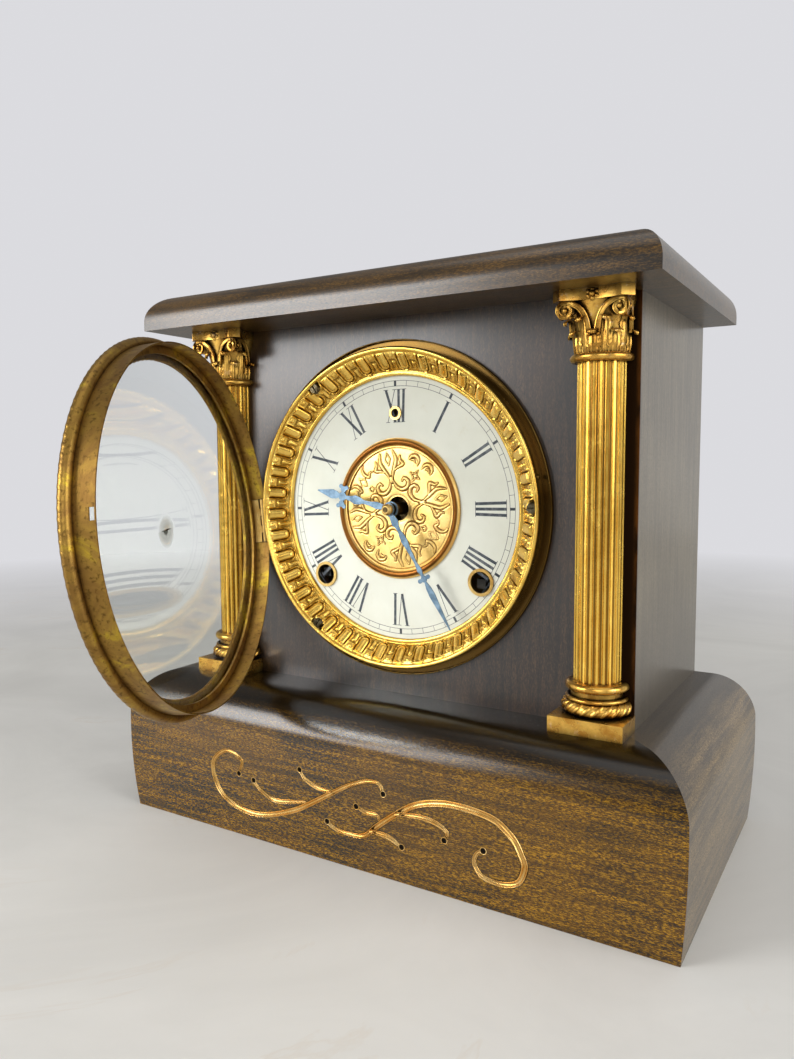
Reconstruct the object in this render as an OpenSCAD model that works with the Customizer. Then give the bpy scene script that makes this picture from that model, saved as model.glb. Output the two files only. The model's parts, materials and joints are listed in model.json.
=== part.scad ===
// Shelf clock: wooden case with two gilt columns, a swelling base, a brass
// dial ring with a hinged convex glass, and an eight day time and strike movement.
// X runs to the right, Y to the back and Z up. The origin is on the underside,
// at the middle of the base. The glass stands open and the hands show 9:25.

/* [Case] */
// Width over the two side panels
case_w = 220.6; // [200:1:260]
// Depth from the front panel's face to the back
case_d = 110.3; // [107:1:150]
// Height of the front panel between base and top board
panel_h = 171.7; // [168:1:220]
// Thickness of the side panels and the front panel
panel_t = 9.5; // [8:0.5:12]
// Thickness of the back board
back_t = 8; // [6:0.5:10]
// Thickness of the bottom board
bottom_t = 8; // [6:0.5:12]

/* [Top board] */
// Thickness of the top board
top_t = 17; // [15:0.5:24]
// How far the top board reaches past each side
top_side = 15.3; // [8:0.5:25]
// How far the top board reaches past the front
top_front = 31.8; // [22:0.5:40]
// Radius of the top board's rounded edge
top_round = 13; // [6:0.5:14]

/* [Base] */
// Height of the base
base_h = 71; // [60:1:90]
// How far the base swells past each side panel
base_side = 29.5; // [26:0.5:36]
// How far the base swells past the front panel
base_front = 35.8; // [30:0.5:44]
// Radius of the base's shoulder
shoulder_r = 20.5; // [12:0.5:24]
// Radius of the slow curve down the base's face
face_r = 370; // [250:10:800]
// Height where the base is widest
swell_z = 42; // [35:1:48]
// Width of the timber that the base is cut from
base_wall = 42.8; // [38:0.2:50]

/* [Carving] */
// Depth of the lines carved in the base
carve_d = 0.9; // [0.6:0.1:1.5]
// Half width of the carved lines
carve_w = 1.6; // [0.8:0.1:1.8]
// Radius of the holes drilled at the ends of the carved lines
carve_hole_r = 1.2; // [0.8:0.1:1.4]
// Depth of those holes
carve_hole_d = 4; // [2:0.5:8]

/* [Columns] */
// Distance of each column's axis in from the side of the case
column_inset = 14.7; // [12:0.1:22]
// Radius of the fluted shaft
shaft_r = 9.4; // [8:0.1:11]
// Number of flutes round a whole shaft
flutes = 22; // [16:2:26]
// Width of the plinth under each column
plinth_w = 30.2; // [26:0.2:34]
// Depth of the plinth in front of the panel
plinth_d = 17; // [15.5:0.5:20]
// Height of the plinth
plinth_h = 6.5; // [5:0.5:9]
// Height of the column's base, with its plinth
column_base_h = 19.5; // [18:0.5:24]
// Height of the capital
capital_h = 26.7; // [25:0.1:30]

/* [Dial] */
// Height of the dial's centre above the base's underside
dial_z = 156.5; // [152:0.5:165]
// Radius of the dial that shows inside the ring
sight_r = 60.2; // [58:0.2:61]
// Radius of the dial ring's standing wall
ring_r = 72.4; // [72:0.1:74]
// Height of the dial ring's ridge in front of the panel
ring_h = 8; // [7:0.1:9]
// Number of eggs embossed round the dial ring
eggs = 48; // [36:1:60]
// Thickness of the stamped brass sheet
sheet = 0.6; // [0.5:0.05:0.8]
// Radius of the dial's pan
pan_r = 65.5; // [63:0.5:66]
// How far the dial's face lies behind the panel's face
dial_depth = 2.15; // [1.8:0.05:2.5]
// Turn of the dial against the case, in degrees
dial_turn = 1.25; // [0:0.25:2]
// Radius of the gilt centre
centre_r = 32.3; // [28:0.1:34]
// Radius of each winding hole
winding_hole_r = 4.75; // [4:0.05:5]
// Radius of the regulator's hole
regulator_hole_r = 2; // [1.8:0.1:2.4]

/* [Glass door] */
// Outer radius of the glass door's wall
bezel_r = 75.2; // [75:0.1:76]
// Outer radius of the glass door's rope edge
rope_r = 78.3; // [77.8:0.1:79]
// Depth of the glass door from rear rim to front
bezel_d = 13.1; // [12.5:0.1:15]
// Thickness of the glass
glass_t = 1.6; // [1.2:0.1:2]
// Rise of the glass at its middle
glass_rise = 7; // [4:0.5:10]
// Angle that the glass door stands open
open_angle = 70.9; // [0:0.1:70.9]
// Angle of the hinge below nine o'clock
hinge_low = 5.8; // [3:0.1:8]

/* [Movement] */
// Thickness of the movement's plates
plate_t = 1.3; // [1.2:0.1:1.6]
// Clear distance between the plates
plate_gap = 32; // [32:0.5:36]
// Distance of each winding arbor to the side of the centre
winding_x = 41.5; // [41:0.1:42]
// Distance of the winding arbors below the centre
winding_z = 32; // [31:0.1:33]
// Distance of the verge's arbor above the centre
verge_z = 38.5; // [38:0.1:39]
// Distance of the regulator's arbor above the centre
regulator_z = 43.5; // [43.4:0.1:44]
// Length of the pendulum from its suspension to the middle of the bob
pendulum_l = 112; // [100:1:120]
// Radius of the pendulum's bob
bob_r = 17; // [14:0.5:20]

/* [Time] */
// Hour that the hands show
shown_hour = 9; // [0:1:11]
// Minute that the hands show
shown_minute = 25; // [0:1:59]

/* [Hidden] */
$fn = 64;

// Running clearance of a shaft in its hole, and the gap between flat pieces that slide
run = 0.05;
slip = 0.3;
// A cut runs this far past the face that it opens
past = 1;

// Case
half_w = case_w / 2;
column_x = half_w - column_inset;
top_z = base_h + panel_h;
panel_y = base_front - (base_front + case_d) / 2 - (face_r - sqrt(pow(face_r, 2) - pow(swell_z, 2))) / 2;
back_y = panel_y + case_d;
inner_x = half_w - panel_t;
base_half = half_w + base_side;
base_inner = base_half - base_wall;
base_inner_y = panel_y - base_front + base_wall;
inner_back_y = back_y - back_t;
rebate_r = pan_r + 0.5;
panel_hole_r = pan_r - 7.5;
pan_t = 0.5;
rebate_d = dial_depth + pan_t;

// Back opening, its door and hinges, and the button that holds the door
back_opening_w = 96;
back_opening_low = 95;
back_opening_high = 205;
button_at = [-back_opening_w / 2 - 7, 150];
button_pin_r = 1.5;
door_gap = 0.5;
leaf_t = 0.8;
back_hinge_x = back_opening_w / 2;
back_knuckle_r = 2;
back_pin_r = 1;
back_hinge_zs = [back_opening_low + 18, back_opening_high - 18];
back_hinge_l = 20;
back_leaf_w = 11;
back_slot_w = 3.5;
finger_hole_r = 6;
finger_hole_d = 3;
button_half = 11;
button_r = 3.2;
button_t = 1.6;

// Columns, with their axis in front of the panel
column_z = base_h + column_base_h;
column_out = 1.5;
capital_z = top_z - capital_h;
abacus_w = 31.6;
abacus_h = 4.2;
volute_r = 3.4;
bell_h = capital_h - abacus_h;
bell_waist = 3.2;
bell_flare = 2.8;
// Radius of the bell's hollow, which widens it by the flare from its waist to its top
bell_hollow_r = (pow(bell_h - bell_waist, 2) + pow(bell_flare, 2)) / (2 * bell_flare);

// Carving: how far the cut reaches in from the widest line, and the steps between two points of a line
carve_reach = 6;
carve_steps = 4;
// Each carved line: its points as x and height from the widest line of the face, whether its first and last
// points are drilled, and its half width as a share of carve_w
carved_lines = [
    [[[-66, -11], [-64, -4], [-73, -1], [-81, -6], [-82.5, -12.5], [-79.5, -20.5], [-72.5, -26.5],
        [-60.5, -29], [-48.5, -27.5], [-33.5, -22], [-22, -15.5], [-11.5, -9], [-2, -3.5], [7, 0], [13, 0],
        [15, -4]], 1, 1, 1],
    [[[-57, -12.5], [-52, -17], [-43.5, -19.5], [-26.5, -16.5]], 1, 0, 0.85],
    [[[-29.5, -2], [-26, -6], [-19, -8.5], [-12, -8.5]], 1, 0, 0.8],
    [[[-15, -23], [-10.5, -25.5], [-3, -26], [4.5, -25], [11, -19.5], [18.5, -13.5], [29.5, -6], [40, -2.5],
        [51.5, -1.5], [66, -3.5], [74, -9], [78, -16], [79, -20.5], [76, -27], [68.5, -29.5], [61, -28.5],
        [57.5, -24], [58.5, -19.5], [61.5, -17.5]], 1, 1, 1.1],
    [[[1, -12.5], [6, -14], [11.5, -14], [13, -16.5]], 1, 0, 0.75],
    [[[20, -12], [23.5, -11], [34, -10], [42, -11.5], [45.5, -14], [44, -17.5]], 0, 1, 0.85],
    [[[7, -22.5], [10, -22], [17, -22.5], [23.5, -25.5]], 0, 1, 0.85]];

// Movement, with depths behind the panel's face
front_plate_d = 14;
gap_d = front_plate_d + plate_t;
back_plate_d = gap_d + plate_gap;
movement_back_d = back_plate_d + plate_t;
plate_half = 60;
plate_low = -66;
plate_high = 53;
plate_round = 8;
pillar_r = 2.6;
pillars = [[52, 45], [-52, 45], [winding_x, -winding_z - 27.5], [-winding_x, -winding_z - 27.5]];
ears = [[70, 35], [-70, 35], [70, -45], [-70, -45]];
ear_r = 5;
side_cut_r = 32;
side_cut_out = 22;
low_cut_r = 9;
screw_r = 1.75;
screw_in = 5.5;
screw_head_r = 3.2;
screw_head_t = 1.8;

// Train: tooth counts, modules and places
great_teeth = 64;
second_leaves = 10;
great_m = 0.7;
second_teeth = 48;
centre_leaves = 12;
second_m = 0.92;
centre_teeth = 72;
third_leaves = 6;
centre_m = 0.55;
third_teeth = 72;
escape_leaves = 6;
third_m = 0.45;
escape_teeth = 36;
escape_r = 11;
cannon_leaves = 12;
minute_teeth = 36;
cannon_m = 0.5;
minute_leaves = 10;
hour_teeth = 40;
hour_m = 0.48;
centre_at = [0, 0];
time_at = [winding_x, -winding_z];
strike_at = [-winding_x, -winding_z];
verge_at = [0, verge_z];
regulator_at = [0, regulator_z];
great_reach = (great_teeth + second_leaves) * great_m / 2;
second_reach = (second_teeth + centre_leaves) * second_m / 2;
third_reach = (centre_teeth + third_leaves) * centre_m / 2;
escape_reach = (third_teeth + escape_leaves) * third_m / 2;
motion_reach = (cannon_leaves + minute_teeth) * cannon_m / 2;
escape_at = [0, verge_z - 14];
second_at = meet(centre_at, time_at, second_reach, great_reach, 1);
third_at = meet(centre_at, escape_at, third_reach, escape_reach, 1);
pin_at = [-second_at.x, second_at.y];
minute_at = [motion_reach * cos(135), motion_reach * sin(135)];
hammer_at = [-42, 0];
arbor_r = 1.3;
pivot_r = 0.8;
centre_arbor_r = 1.5;
sleeve_r = 2.6;
great_d = gap_d + 1.7;
great_t = 1.8;
spring_d = gap_d + 6.7;
spring_w = 19;
spring_t = 0.6;
spring_pitch = 2.4;
spring_halves = 14;
second_d = back_plate_d - 4.8;
wheel_t = 1.5;
thin_t = 1.2;
centre_wheel_d = gap_d + 8.7;
third_wheel_d = gap_d + 14.7;
escape_d = gap_d + 22.7;
cannon_d = 10.5;
minute_wheel_d = 11.2;
hour_wheel_d = 7;
winding_r = 3;
spring_in_r = winding_r + slip + spring_t / 2;
winding_square = 4.2;
pendulum_d = movement_back_d + 7.4;

// Pivots, studs and the parts between and behind the plates
pillar_end_r = 1.5;
fine_pivot_r = 0.5;
slim_r = 0.75;
regulator_r = 1.2;
winding_pivot_r = 1.5;
centre_pivot_r = 1;
verge_pivot_r = 0.8;
stud_r = 1;
end_play = 0.2;
ratchet_r = 8;
ratchet_d = great_d + great_t + slip;
ratchet_t = 1.4;
click_reach = 14;
pallet_at = 38;
pallet_gap = 1;
crutch_l = 27;
crutch_d = movement_back_d + 1.2;
cock_gap = 5.4;
cock_slot = 1.1;
cock_l = 9.4;
slide_d = movement_back_d + 1.4;
slide_t = 2;
slide_pin_x = 5.6;
slide_pin_r = 0.85;
slide_pins = [verge_z - 5.5, verge_z + 10];
slide_leaves = 8;
slide_m = 0.6;
slide_reach = slide_leaves * slide_m / 2;
rack_pitch = PI * slide_m;
slide_slot = 0.8;

// Pendulum
rod_r = 0.8;
spring_blade = 0.3;
bob_t = 9;
bob_rim = 2.4;
bob_bulge = (bob_t - bob_rim) / 2;
bob_sphere = (pow(bob_r, 2) + pow(bob_bulge, 2)) / (2 * bob_bulge);
bob_steps = 8;

// Strike and gong
pin_circle = 11;
pin_n = 8;
gong_at = [-10, -95];
gong_d = pendulum_d + 18;
gong_wire = 1.2;
gong_in_r = 8;
gong_step = 2;
gong_halves = 14;
gong_block_d = gong_d + 3;
head_r = 4.5;
head_l = 10;
hammer_arbor_r = 1.2;
stop_arm_w = 2.4;
tail_l = norm(pin_at - hammer_at) - pin_circle - 1.4;
head_at = [gong_at.x - gong_in_r - gong_step * gong_halves - gong_wire - 1 - head_l / 2, gong_at.y];

// Dial ring with its screws and the eggs on its slope, and what stands in the dial
ring_screw_angles = [2, -126, 126];
ring_screw_r = 69;
ring_screw_shank = 1.4;
ring_screw_l = 7;
ring_pad_z = 5.6;
ring_pad_r = 3;
latch_angle = 12;
latch_r = 1.2;
latch_z = 4.5;
flange_r = bezel_r + 0.8;
ridge = 1.1;
slope_foot = [sight_r + 2.2, 1.3 - dial_depth];
slope_crest = [ring_r - 2 * ridge, ring_h - ridge];
slope_l = norm(slope_crest - slope_foot);
slope_angle = atan2(slope_crest.y - slope_foot.y, slope_crest.x - slope_foot.x);
// An egg's radius, how deep its middle lies in the slope, its wall, and the slope left free below and above
egg_r = 1.7;
egg_sink = 0.45;
egg_wall = 0.9;
egg_foot = 4.3;
egg_crest = 0.9;
winding_grommet_r = 6.1;
regulator_grommet_r = 3.1;
grommet_wall = 0.45;
centre_hole_r = 5.6;

// Hands, with heights in front of the panel's face
hour_hand_z = 3.6;
minute_hand_z = 6;
hand_t = 0.5;
hour_angle = 90 - (shown_hour + shown_minute / 60) * 30 + dial_turn;
minute_angle = 90 - shown_minute * 6 + dial_turn;
hour_hub_r = 3.6;
minute_hub_r = 3;
hour_pipe_r = 2.9;
centre_tip_r = 1.2;
collet_h = 2.4;

// Glass door, in the place it has when shut
bezel_z = 3.4;
bezel_in = bezel_r - sheet;
bezel_top = bezel_z + bezel_d;
hinge_r = bezel_r - 0.9;
hinge_z = bezel_z + 1.5;
knuckle_r = 1.4;
pin_r = 0.75;
hinge_len = 21;
knuckle_n = 5;
knuckle_l = hinge_len / knuckle_n;
hinge_at = [-hinge_r * cos(hinge_low), -hinge_r * sin(hinge_low), hinge_z];
hinge_axis = [-sin(hinge_low), cos(hinge_low), 0];
rope_tube = 2.4;
glass_edge_r = bezel_in - 0.6;
glass_z = bezel_top - 3.4;
glass_sphere_r = (pow(glass_edge_r, 2) + pow(glass_rise, 2)) / (2 * glass_rise);
retainer_z = glass_z - glass_t - 1.4;
// The glass door opens until its rope edge is near the left shaft: from the hinge, in the plane across
// its pin, the rope's middle lies rope_reach away and the shaft's axis shaft_reach away
rope_at = [rope_r - rope_tube - hinge_r, bezel_top - rope_tube - hinge_z];
rope_reach = norm(rope_at);
shaft_at = [column_x - hinge_r, column_out - hinge_z];
shaft_reach = norm(shaft_at);
nearest = shaft_r + rope_tube + slip;
meeting = (pow(shaft_reach, 2) + pow(rope_reach, 2) - pow(nearest, 2)) / (2 * shaft_reach * rope_reach);
open_most = atan2(shaft_at.x, shaft_at.y) - acos(min(1, meeting)) - atan2(rope_at.x, rope_at.y);
shown_angle = min(open_angle, open_most);

function pol(r, a) = [r * cos(a), r * sin(a)];
function bearing(a, b) = atan2(b.y - a.y, b.x - a.x);
// Point at distance ra from a and rb from b, on the left of a to b for side 1
function meet(a, b, ra, rb, side) =
    let (d = norm(b - a), u = (b - a) / d, t = (ra * ra - rb * rb + d * d) / (2 * d),
        h = sqrt(ra * ra - t * t))
    a + t * u + side * h * [-u.y, u.x];
// Point at share t of the way from point i to the next, on a smooth line through the points p
function bend(p, i, t) = let (b = p[i], c = p[i + 1], a = i > 0 ? p[i - 1] : 2 * b - c,
    d = i + 2 < len(p) ? p[i + 2] : 2 * c - b)
    0.5 * (2 * b + t * (c - a) + t * t * (2 * a - 5 * b + 4 * c - d) + pow(t, 3) * (3 * b - a - 3 * c + d));
function smoothed(p) = concat(
    [for (i = [0:len(p) - 2]) for (k = [0:carve_steps - 1]) bend(p, i, k / carve_steps)],
    [p[len(p) - 1]]);
function across(q, i) = let (d = q[min(i + 1, len(q) - 1)] - q[max(i - 1, 0)]) [-d.y, d.x] / norm(d);
function carved_half(w, i, n) = carve_w * w * (0.55 + 0.45 * sin(180 * i / n));
// Wheel teeth and pinion leaves as outlines: each point is a share of the half width, and a height in modules
function wheel_outline(teeth, m) = let (r = teeth * m / 2, w = 0.45 * 180 / teeth)
    [for (i = [0:teeth - 1]) for (p = [[-1, -1.35], [-1, 0], [0, 0.9], [1, 0], [1, -1.35]])
        pol(r + p[1] * m, i * 360 / teeth + p[0] * w)];
function pinion_outline(leaves, m) = let (r = leaves * m / 2, w = 0.38 * 180 / leaves)
    [for (i = [0:leaves - 1]) for (p = [[-1, -1.25], [-0.55, 0.44], [0.55, 0.44], [1, -1.25]])
        pol(r + p[1] * m, i * 360 / leaves + p[0] * w)];
function escape_outline(teeth, r) = [for (i = [0:teeth - 1]) for (p = [[0, 0], [1.2, 0], [5.6, -2.2]])
    pol(r + p[1], (i + p[0] / 10) * 360 / teeth)];
function ratchet_outline(teeth, r) = [for (i = [0:teeth - 1]) for (p = [[0, 0], [0.02, -1]])
    pol(r + p[1], (i + p[0]) * 360 / teeth)];

module oak() { color([0.2, 0.12, 0.07]) children(); }
module brass() { color([0.8, 0.62, 0.26]) children(); }
module gilt() { color([0.85, 0.66, 0.2]) children(); }
module steel() { color([0.55, 0.57, 0.6]) children(); }
module blued() { color([0.5, 0.62, 0.75]) children(); }
module black_iron() { color([0.12, 0.12, 0.13]) children(); }

// Dial coordinates: x right, y up, z towards the front, from the dial's centre on the panel's face
module on_dial() { translate([0, panel_y, dial_z]) rotate([90, 0, 0]) children(); }
// A slab of a flat outline, from depth d to d + t behind the panel's face
module behind(d, t) { translate([0, 0, -d - t]) linear_extrude(t) children(); }
module rod(at, r, d, l) { translate([at.x, at.y, -d - l]) cylinder(r = r, h = l); }
module ring(outer, inner, z, h) {
    translate([0, 0, z]) difference() {
        cylinder(r = outer, h = h, $fn = 128);
        translate([0, 0, -past]) cylinder(r = inner, h = h + 2 * past, $fn = 128);
    }
}
module door_open() {
    on_dial() translate(hinge_at) rotate(a = -shown_angle, v = hinge_axis) translate(-hinge_at) children();
}
// The hinge's own coordinates: x towards the dial's middle, y along the pin, z forward
module at_hinge() { translate(hinge_at) rotate([0, 0, hinge_low]) children(); }

// Case
module top_board() {
    oak() translate([0, 0, top_z]) intersection() {
        translate([0, back_y, 0]) rotate([90, 0, 0]) linear_extrude(case_d + top_front + past)
            rounded_slab(half_w + top_side, 1);
        translate([-half_w - top_side - past, 0, 0]) rotate([90, 0, 90])
            linear_extrude(2 * (half_w + top_side + past))
                translate([back_y, 0]) rounded_slab(case_d + top_front, 0);
    }
}
// Section of the top board: reach to the left of the origin, and to its right where both is 1
module rounded_slab(reach, both) {
    for (s = both == 1 ? [-1, 1] : [-1]) scale_x(s) intersection() {
        square([reach, top_t]);
        union() {
            square([reach - top_round, top_t]);
            square([reach, top_t - top_round]);
            translate([reach - top_round, top_t - top_round]) circle(top_round, $fn = 96);
        }
    }
}
module scale_x(s) { mirror([s < 0 ? 1 : 0, 0, 0]) children(); }
module side_panel(s) {
    oak() scale_x(s) translate([inner_x, panel_y, base_h]) cube([panel_t, case_d, panel_h]);
}
module left_side_panel() { side_panel(-1); }
module right_side_panel() { side_panel(1); }
module front_panel() {
    oak() difference() {
        translate([-inner_x, panel_y, base_h]) cube([2 * inner_x, panel_t, panel_h]);
        on_dial() {
            translate([0, 0, -panel_t - past])
                cylinder(r = panel_hole_r, h = panel_t + 2 * past, $fn = 128);
            translate([0, 0, -rebate_d]) cylinder(r = rebate_r, h = rebate_d + past, $fn = 128);
            for (a = ring_screw_angles)
                rod(pol(ring_screw_r, a), ring_screw_shank + run, -past, ring_screw_l + past);
            for (e = ears) rod(e, screw_r + run, panel_t - screw_in - 0.5, screw_in + 0.5 + past);
        }
    }
}
module back_outline() {
    translate([-inner_x, base_h]) square([2 * inner_x, panel_h]);
    translate([-base_inner, 0]) square([2 * base_inner, base_h + past / 10]);
}
module back_board() {
    oak() difference() {
        translate([0, back_y, 0]) rotate([90, 0, 0]) linear_extrude(back_t) difference() {
            back_outline();
            translate([-back_opening_w / 2, back_opening_low])
                square([back_opening_w, back_opening_high - back_opening_low]);
        }
        translate([button_at.x, back_y + past, button_at.y]) rotate([90, 0, 0])
            cylinder(r = button_pin_r + run, h = back_t - 2 + past);
    }
}
// Section of the base: u outwards with its widest point at 0, v up
module base_section() {
    intersection() {
        translate([-face_r, swell_z]) circle(face_r, $fn = 720);
        union() {
            translate([-base_wall, 0]) square([base_wall + past, base_h - shoulder_r]);
            translate([-base_wall, 0]) square([base_wall - shoulder_r, base_h]);
            translate([-shoulder_r, base_h - shoulder_r]) circle(shoulder_r, $fn = 128);
        }
    }
}
module base_front_moulding() {
    oak() difference() {
        intersection() {
            translate([-base_half - past, panel_y - base_front, 0]) rotate([90, 0, 90])
                linear_extrude(2 * (base_half + past)) mirror([1, 0]) base_section();
            linear_extrude(base_h) polygon([
                [-base_half, panel_y - base_front], [base_half, panel_y - base_front],
                [base_inner, base_inner_y], [-base_inner, base_inner_y]]);
        }
        translate([0, panel_y - base_front, swell_z]) carving();
    }
}
// Cuts along the carved lines, as deep all along, and the holes at their ends
module carving() {
    difference() {
        rotate([90, 0, 0]) translate([0, 0, -carve_reach]) linear_extrude(carve_reach + past)
            for (line = carved_lines) let (q = smoothed(line[0]), n = len(q) - 1)
                polygon(concat([for (i = [0:n]) q[i] + carved_half(line[3], i, n) * across(q, i)],
                    [for (i = [n:-1:0]) q[i] - carved_half(line[3], i, n) * across(q, i)]));
        translate([-base_half, face_r, 0]) rotate([0, 90, 0])
            cylinder(r = face_r - carve_d, h = 2 * base_half, $fn = 720);
    }
    for (line = carved_lines) for (end = [1, 2]) if (line[end] == 1) {
        p = line[0][end == 1 ? 0 : len(line[0]) - 1];
        translate([p.x, -past, p.y]) rotate([-90, 0, 0])
            cylinder(r = carve_hole_r, h = carve_hole_d + past, $fn = 24);
    }
}
module base_side_moulding(s) {
    oak() scale_x(s) intersection() {
        translate([base_half, back_y, 0]) rotate([90, 0, 0])
            linear_extrude(case_d + base_front + past) base_section();
        linear_extrude(base_h) polygon([[base_half, panel_y - base_front], [base_half, back_y],
            [base_inner, back_y], [base_inner, base_inner_y]]);
    }
}
module base_left_moulding() { base_side_moulding(-1); }
module base_right_moulding() { base_side_moulding(1); }
module bottom_board() {
    oak() translate([-base_inner, base_inner_y, 0])
        cube([2 * base_inner, inner_back_y - base_inner_y, bottom_t]);
}

// Back door: an inset board on two butt hinges, held shut by a turn button
module back_door() {
    oak() difference() {
        translate([-back_opening_w / 2 + door_gap, back_y - back_t, back_opening_low + door_gap])
            cube([back_opening_w - 2 * door_gap, back_t,
                back_opening_high - back_opening_low - 2 * door_gap]);
        translate([-back_opening_w / 2 + 16, back_y + past, (back_opening_low + back_opening_high) / 2])
            rotate([90, 0, 0]) cylinder(r = finger_hole_r, h = finger_hole_d + past);
    }
}
module back_knuckle(z, l, bore) {
    translate([back_hinge_x, back_y + back_knuckle_r, z]) difference() {
        cylinder(r = back_knuckle_r, h = l);
        translate([0, 0, -past]) cylinder(r = bore, h = l + 2 * past);
    }
}
module back_leaf(z, l, s) {
    translate([back_hinge_x, back_y, z]) scale_x(s) translate([slip, 0, 0])
        cube([back_leaf_w - slip, leaf_t, l]);
}
module back_door_hinges() {
    steel() for (z = back_hinge_zs) {
        difference() {
            back_leaf(z - back_hinge_l / 2, back_hinge_l, 1);
            translate([back_hinge_x - past, back_y - past, z - back_hinge_l / 6 - slip])
                cube([back_slot_w + past, leaf_t + 2 * past, back_hinge_l / 3 + 2 * slip]);
        }
        for (k = [0, 2])
            back_knuckle(z - back_hinge_l / 2 + k * back_hinge_l / 3, back_hinge_l / 3, back_pin_r);
        translate([back_hinge_x, back_y + back_knuckle_r, z - back_hinge_l / 2])
            cylinder(r = back_pin_r, h = back_hinge_l);
    }
}
module back_door_leaves() {
    steel() for (z = back_hinge_zs) {
        difference() {
            back_leaf(z - back_hinge_l / 2, back_hinge_l, -1);
            for (k = [0, 2])
                translate([back_hinge_x - back_slot_w, back_y - past,
                    z - back_hinge_l / 2 + k * back_hinge_l / 3 - slip])
                cube([back_slot_w + past, leaf_t + 2 * past, back_hinge_l / 3 + 2 * slip]);
        }
        back_knuckle(z - back_hinge_l / 6 + slip / 2, back_hinge_l / 3 - slip, back_pin_r + run);
    }
}
module back_door_button() {
    brass() translate([button_at.x, back_y, button_at.y]) rotate([-90, 0, 0]) {
        translate([0, 0, slip]) {
            linear_extrude(button_t) hull() for (s = [-1, 1]) translate([0, button_half * s])
                circle(button_r, $fn = 32);
            cylinder(r1 = button_r - 0.2, r2 = button_r - 1, h = button_t + 1);
        }
        translate([0, 0, 3 - back_t]) cylinder(r = button_pin_r, h = back_t - 2);
    }
}

// Columns
// Cuts away what lies behind the panel's face
module engaged(s) {
    intersection() {
        translate([s * column_x, panel_y - column_out, 0]) children();
        translate([s * column_x - abacus_w, panel_y - abacus_w, 0]) cube([2 * abacus_w, abacus_w, top_z]);
    }
}
module shaft(s) {
    gilt() engaged(s) translate([0, 0, column_z]) difference() {
        cylinder(r = shaft_r, h = capital_z - column_z);
        for (i = [0:flutes / 2]) rotate([0, 0, -i * 360 / flutes]) translate([shaft_r + 0.15, 0, -past])
            cylinder(r = 0.34 * 2 * PI * shaft_r / flutes, h = capital_z - column_z + 2 * past, $fn = 24);
    }
}
module left_shaft() { shaft(-1); }
module right_shaft() { shaft(1); }
module column_base(s) {
    gilt() {
        engaged(s) translate([-plinth_w / 2, column_out - plinth_d, base_h])
            cube([plinth_w, plinth_d, plinth_h]);
        engaged(s) translate([0, 0, base_h + plinth_h]) rotate_extrude($fn = 96) {
            square([shaft_r + 1, column_base_h - plinth_h]);
            translate([shaft_r + 1.6, 2.8]) circle(2.8);
            square([shaft_r + 1.6, 5.6]);
            translate([shaft_r + 2.2, 6.4]) circle(0.9);
            translate([shaft_r + 1.6, 11.2]) circle(1.7);
        }
    }
}
module left_column_base() { column_base(-1); }
module right_column_base() { column_base(1); }
module capital(s) {
    gilt() {
        engaged(s) translate([0, 0, capital_z]) rotate_extrude($fn = 96) {
            translate([shaft_r + 1.4, 1.6]) circle(1.6);
            difference() {
                square([shaft_r + bell_flare + 1, bell_h]);
                translate([shaft_r + 0.4 + bell_hollow_r, bell_waist]) circle(bell_hollow_r, $fn = 256);
            }
        }
        engaged(s) translate([0, 0, capital_z + bell_h]) linear_extrude(abacus_h) difference() {
            square([abacus_w, abacus_w], center = true);
            for (a = [0:90:270]) rotate(a) translate([0, -abacus_w / 2 - 21]) circle(24, $fn = 128);
            for (a = [45:90:315]) rotate(a) translate([abacus_w * 0.62, -5]) square([6, 10]);
        }
        for (a = [-45, -135]) engaged(s) rotate([0, 0, a])
            translate([abacus_w * 0.44, 1.6, capital_z + bell_h - volute_r + 0.4])
            rotate([90, 0, 0]) difference() {
                cylinder(r = volute_r, h = 3.2);
                for (z = [-past, 2.6]) translate([0, 0, z]) cylinder(r = volute_r - 1.3, h = 0.6 + past);
            }
    }
}
module left_capital() { capital(-1); }
module right_capital() { capital(1); }

// Dial
// The stamped ring's face: lip, bead, slope, ridge and standing wall
module ring_section() {
    polygon([[sight_r, 0.1 - dial_depth], [sight_r, 1 - dial_depth], [sight_r + 1, 1.7 - dial_depth],
        slope_foot, slope_crest, [ring_r - ridge, ring_h],
        [ring_r, ring_h - ridge], [ring_r, 0], [ring_r - sheet, 0],
        [ring_r - sheet, ring_h - ridge - sheet], [ring_r - 2 * ridge + 0.2, ring_h - 2 * ridge],
        [sight_r + 2.4, 0.6 - dial_depth], [sight_r + 1, 0.8 - dial_depth],
            [sight_r + sheet, 0.1 - dial_depth]]);
    translate([ring_r - ridge, ring_h - ridge]) circle(ridge, $fn = 32);
    translate([ring_r - sheet, 0]) square([flange_r - ring_r + sheet, sheet]);
    translate([flange_r - sheet, 0]) square([sheet, 2.2]);
}
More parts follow.
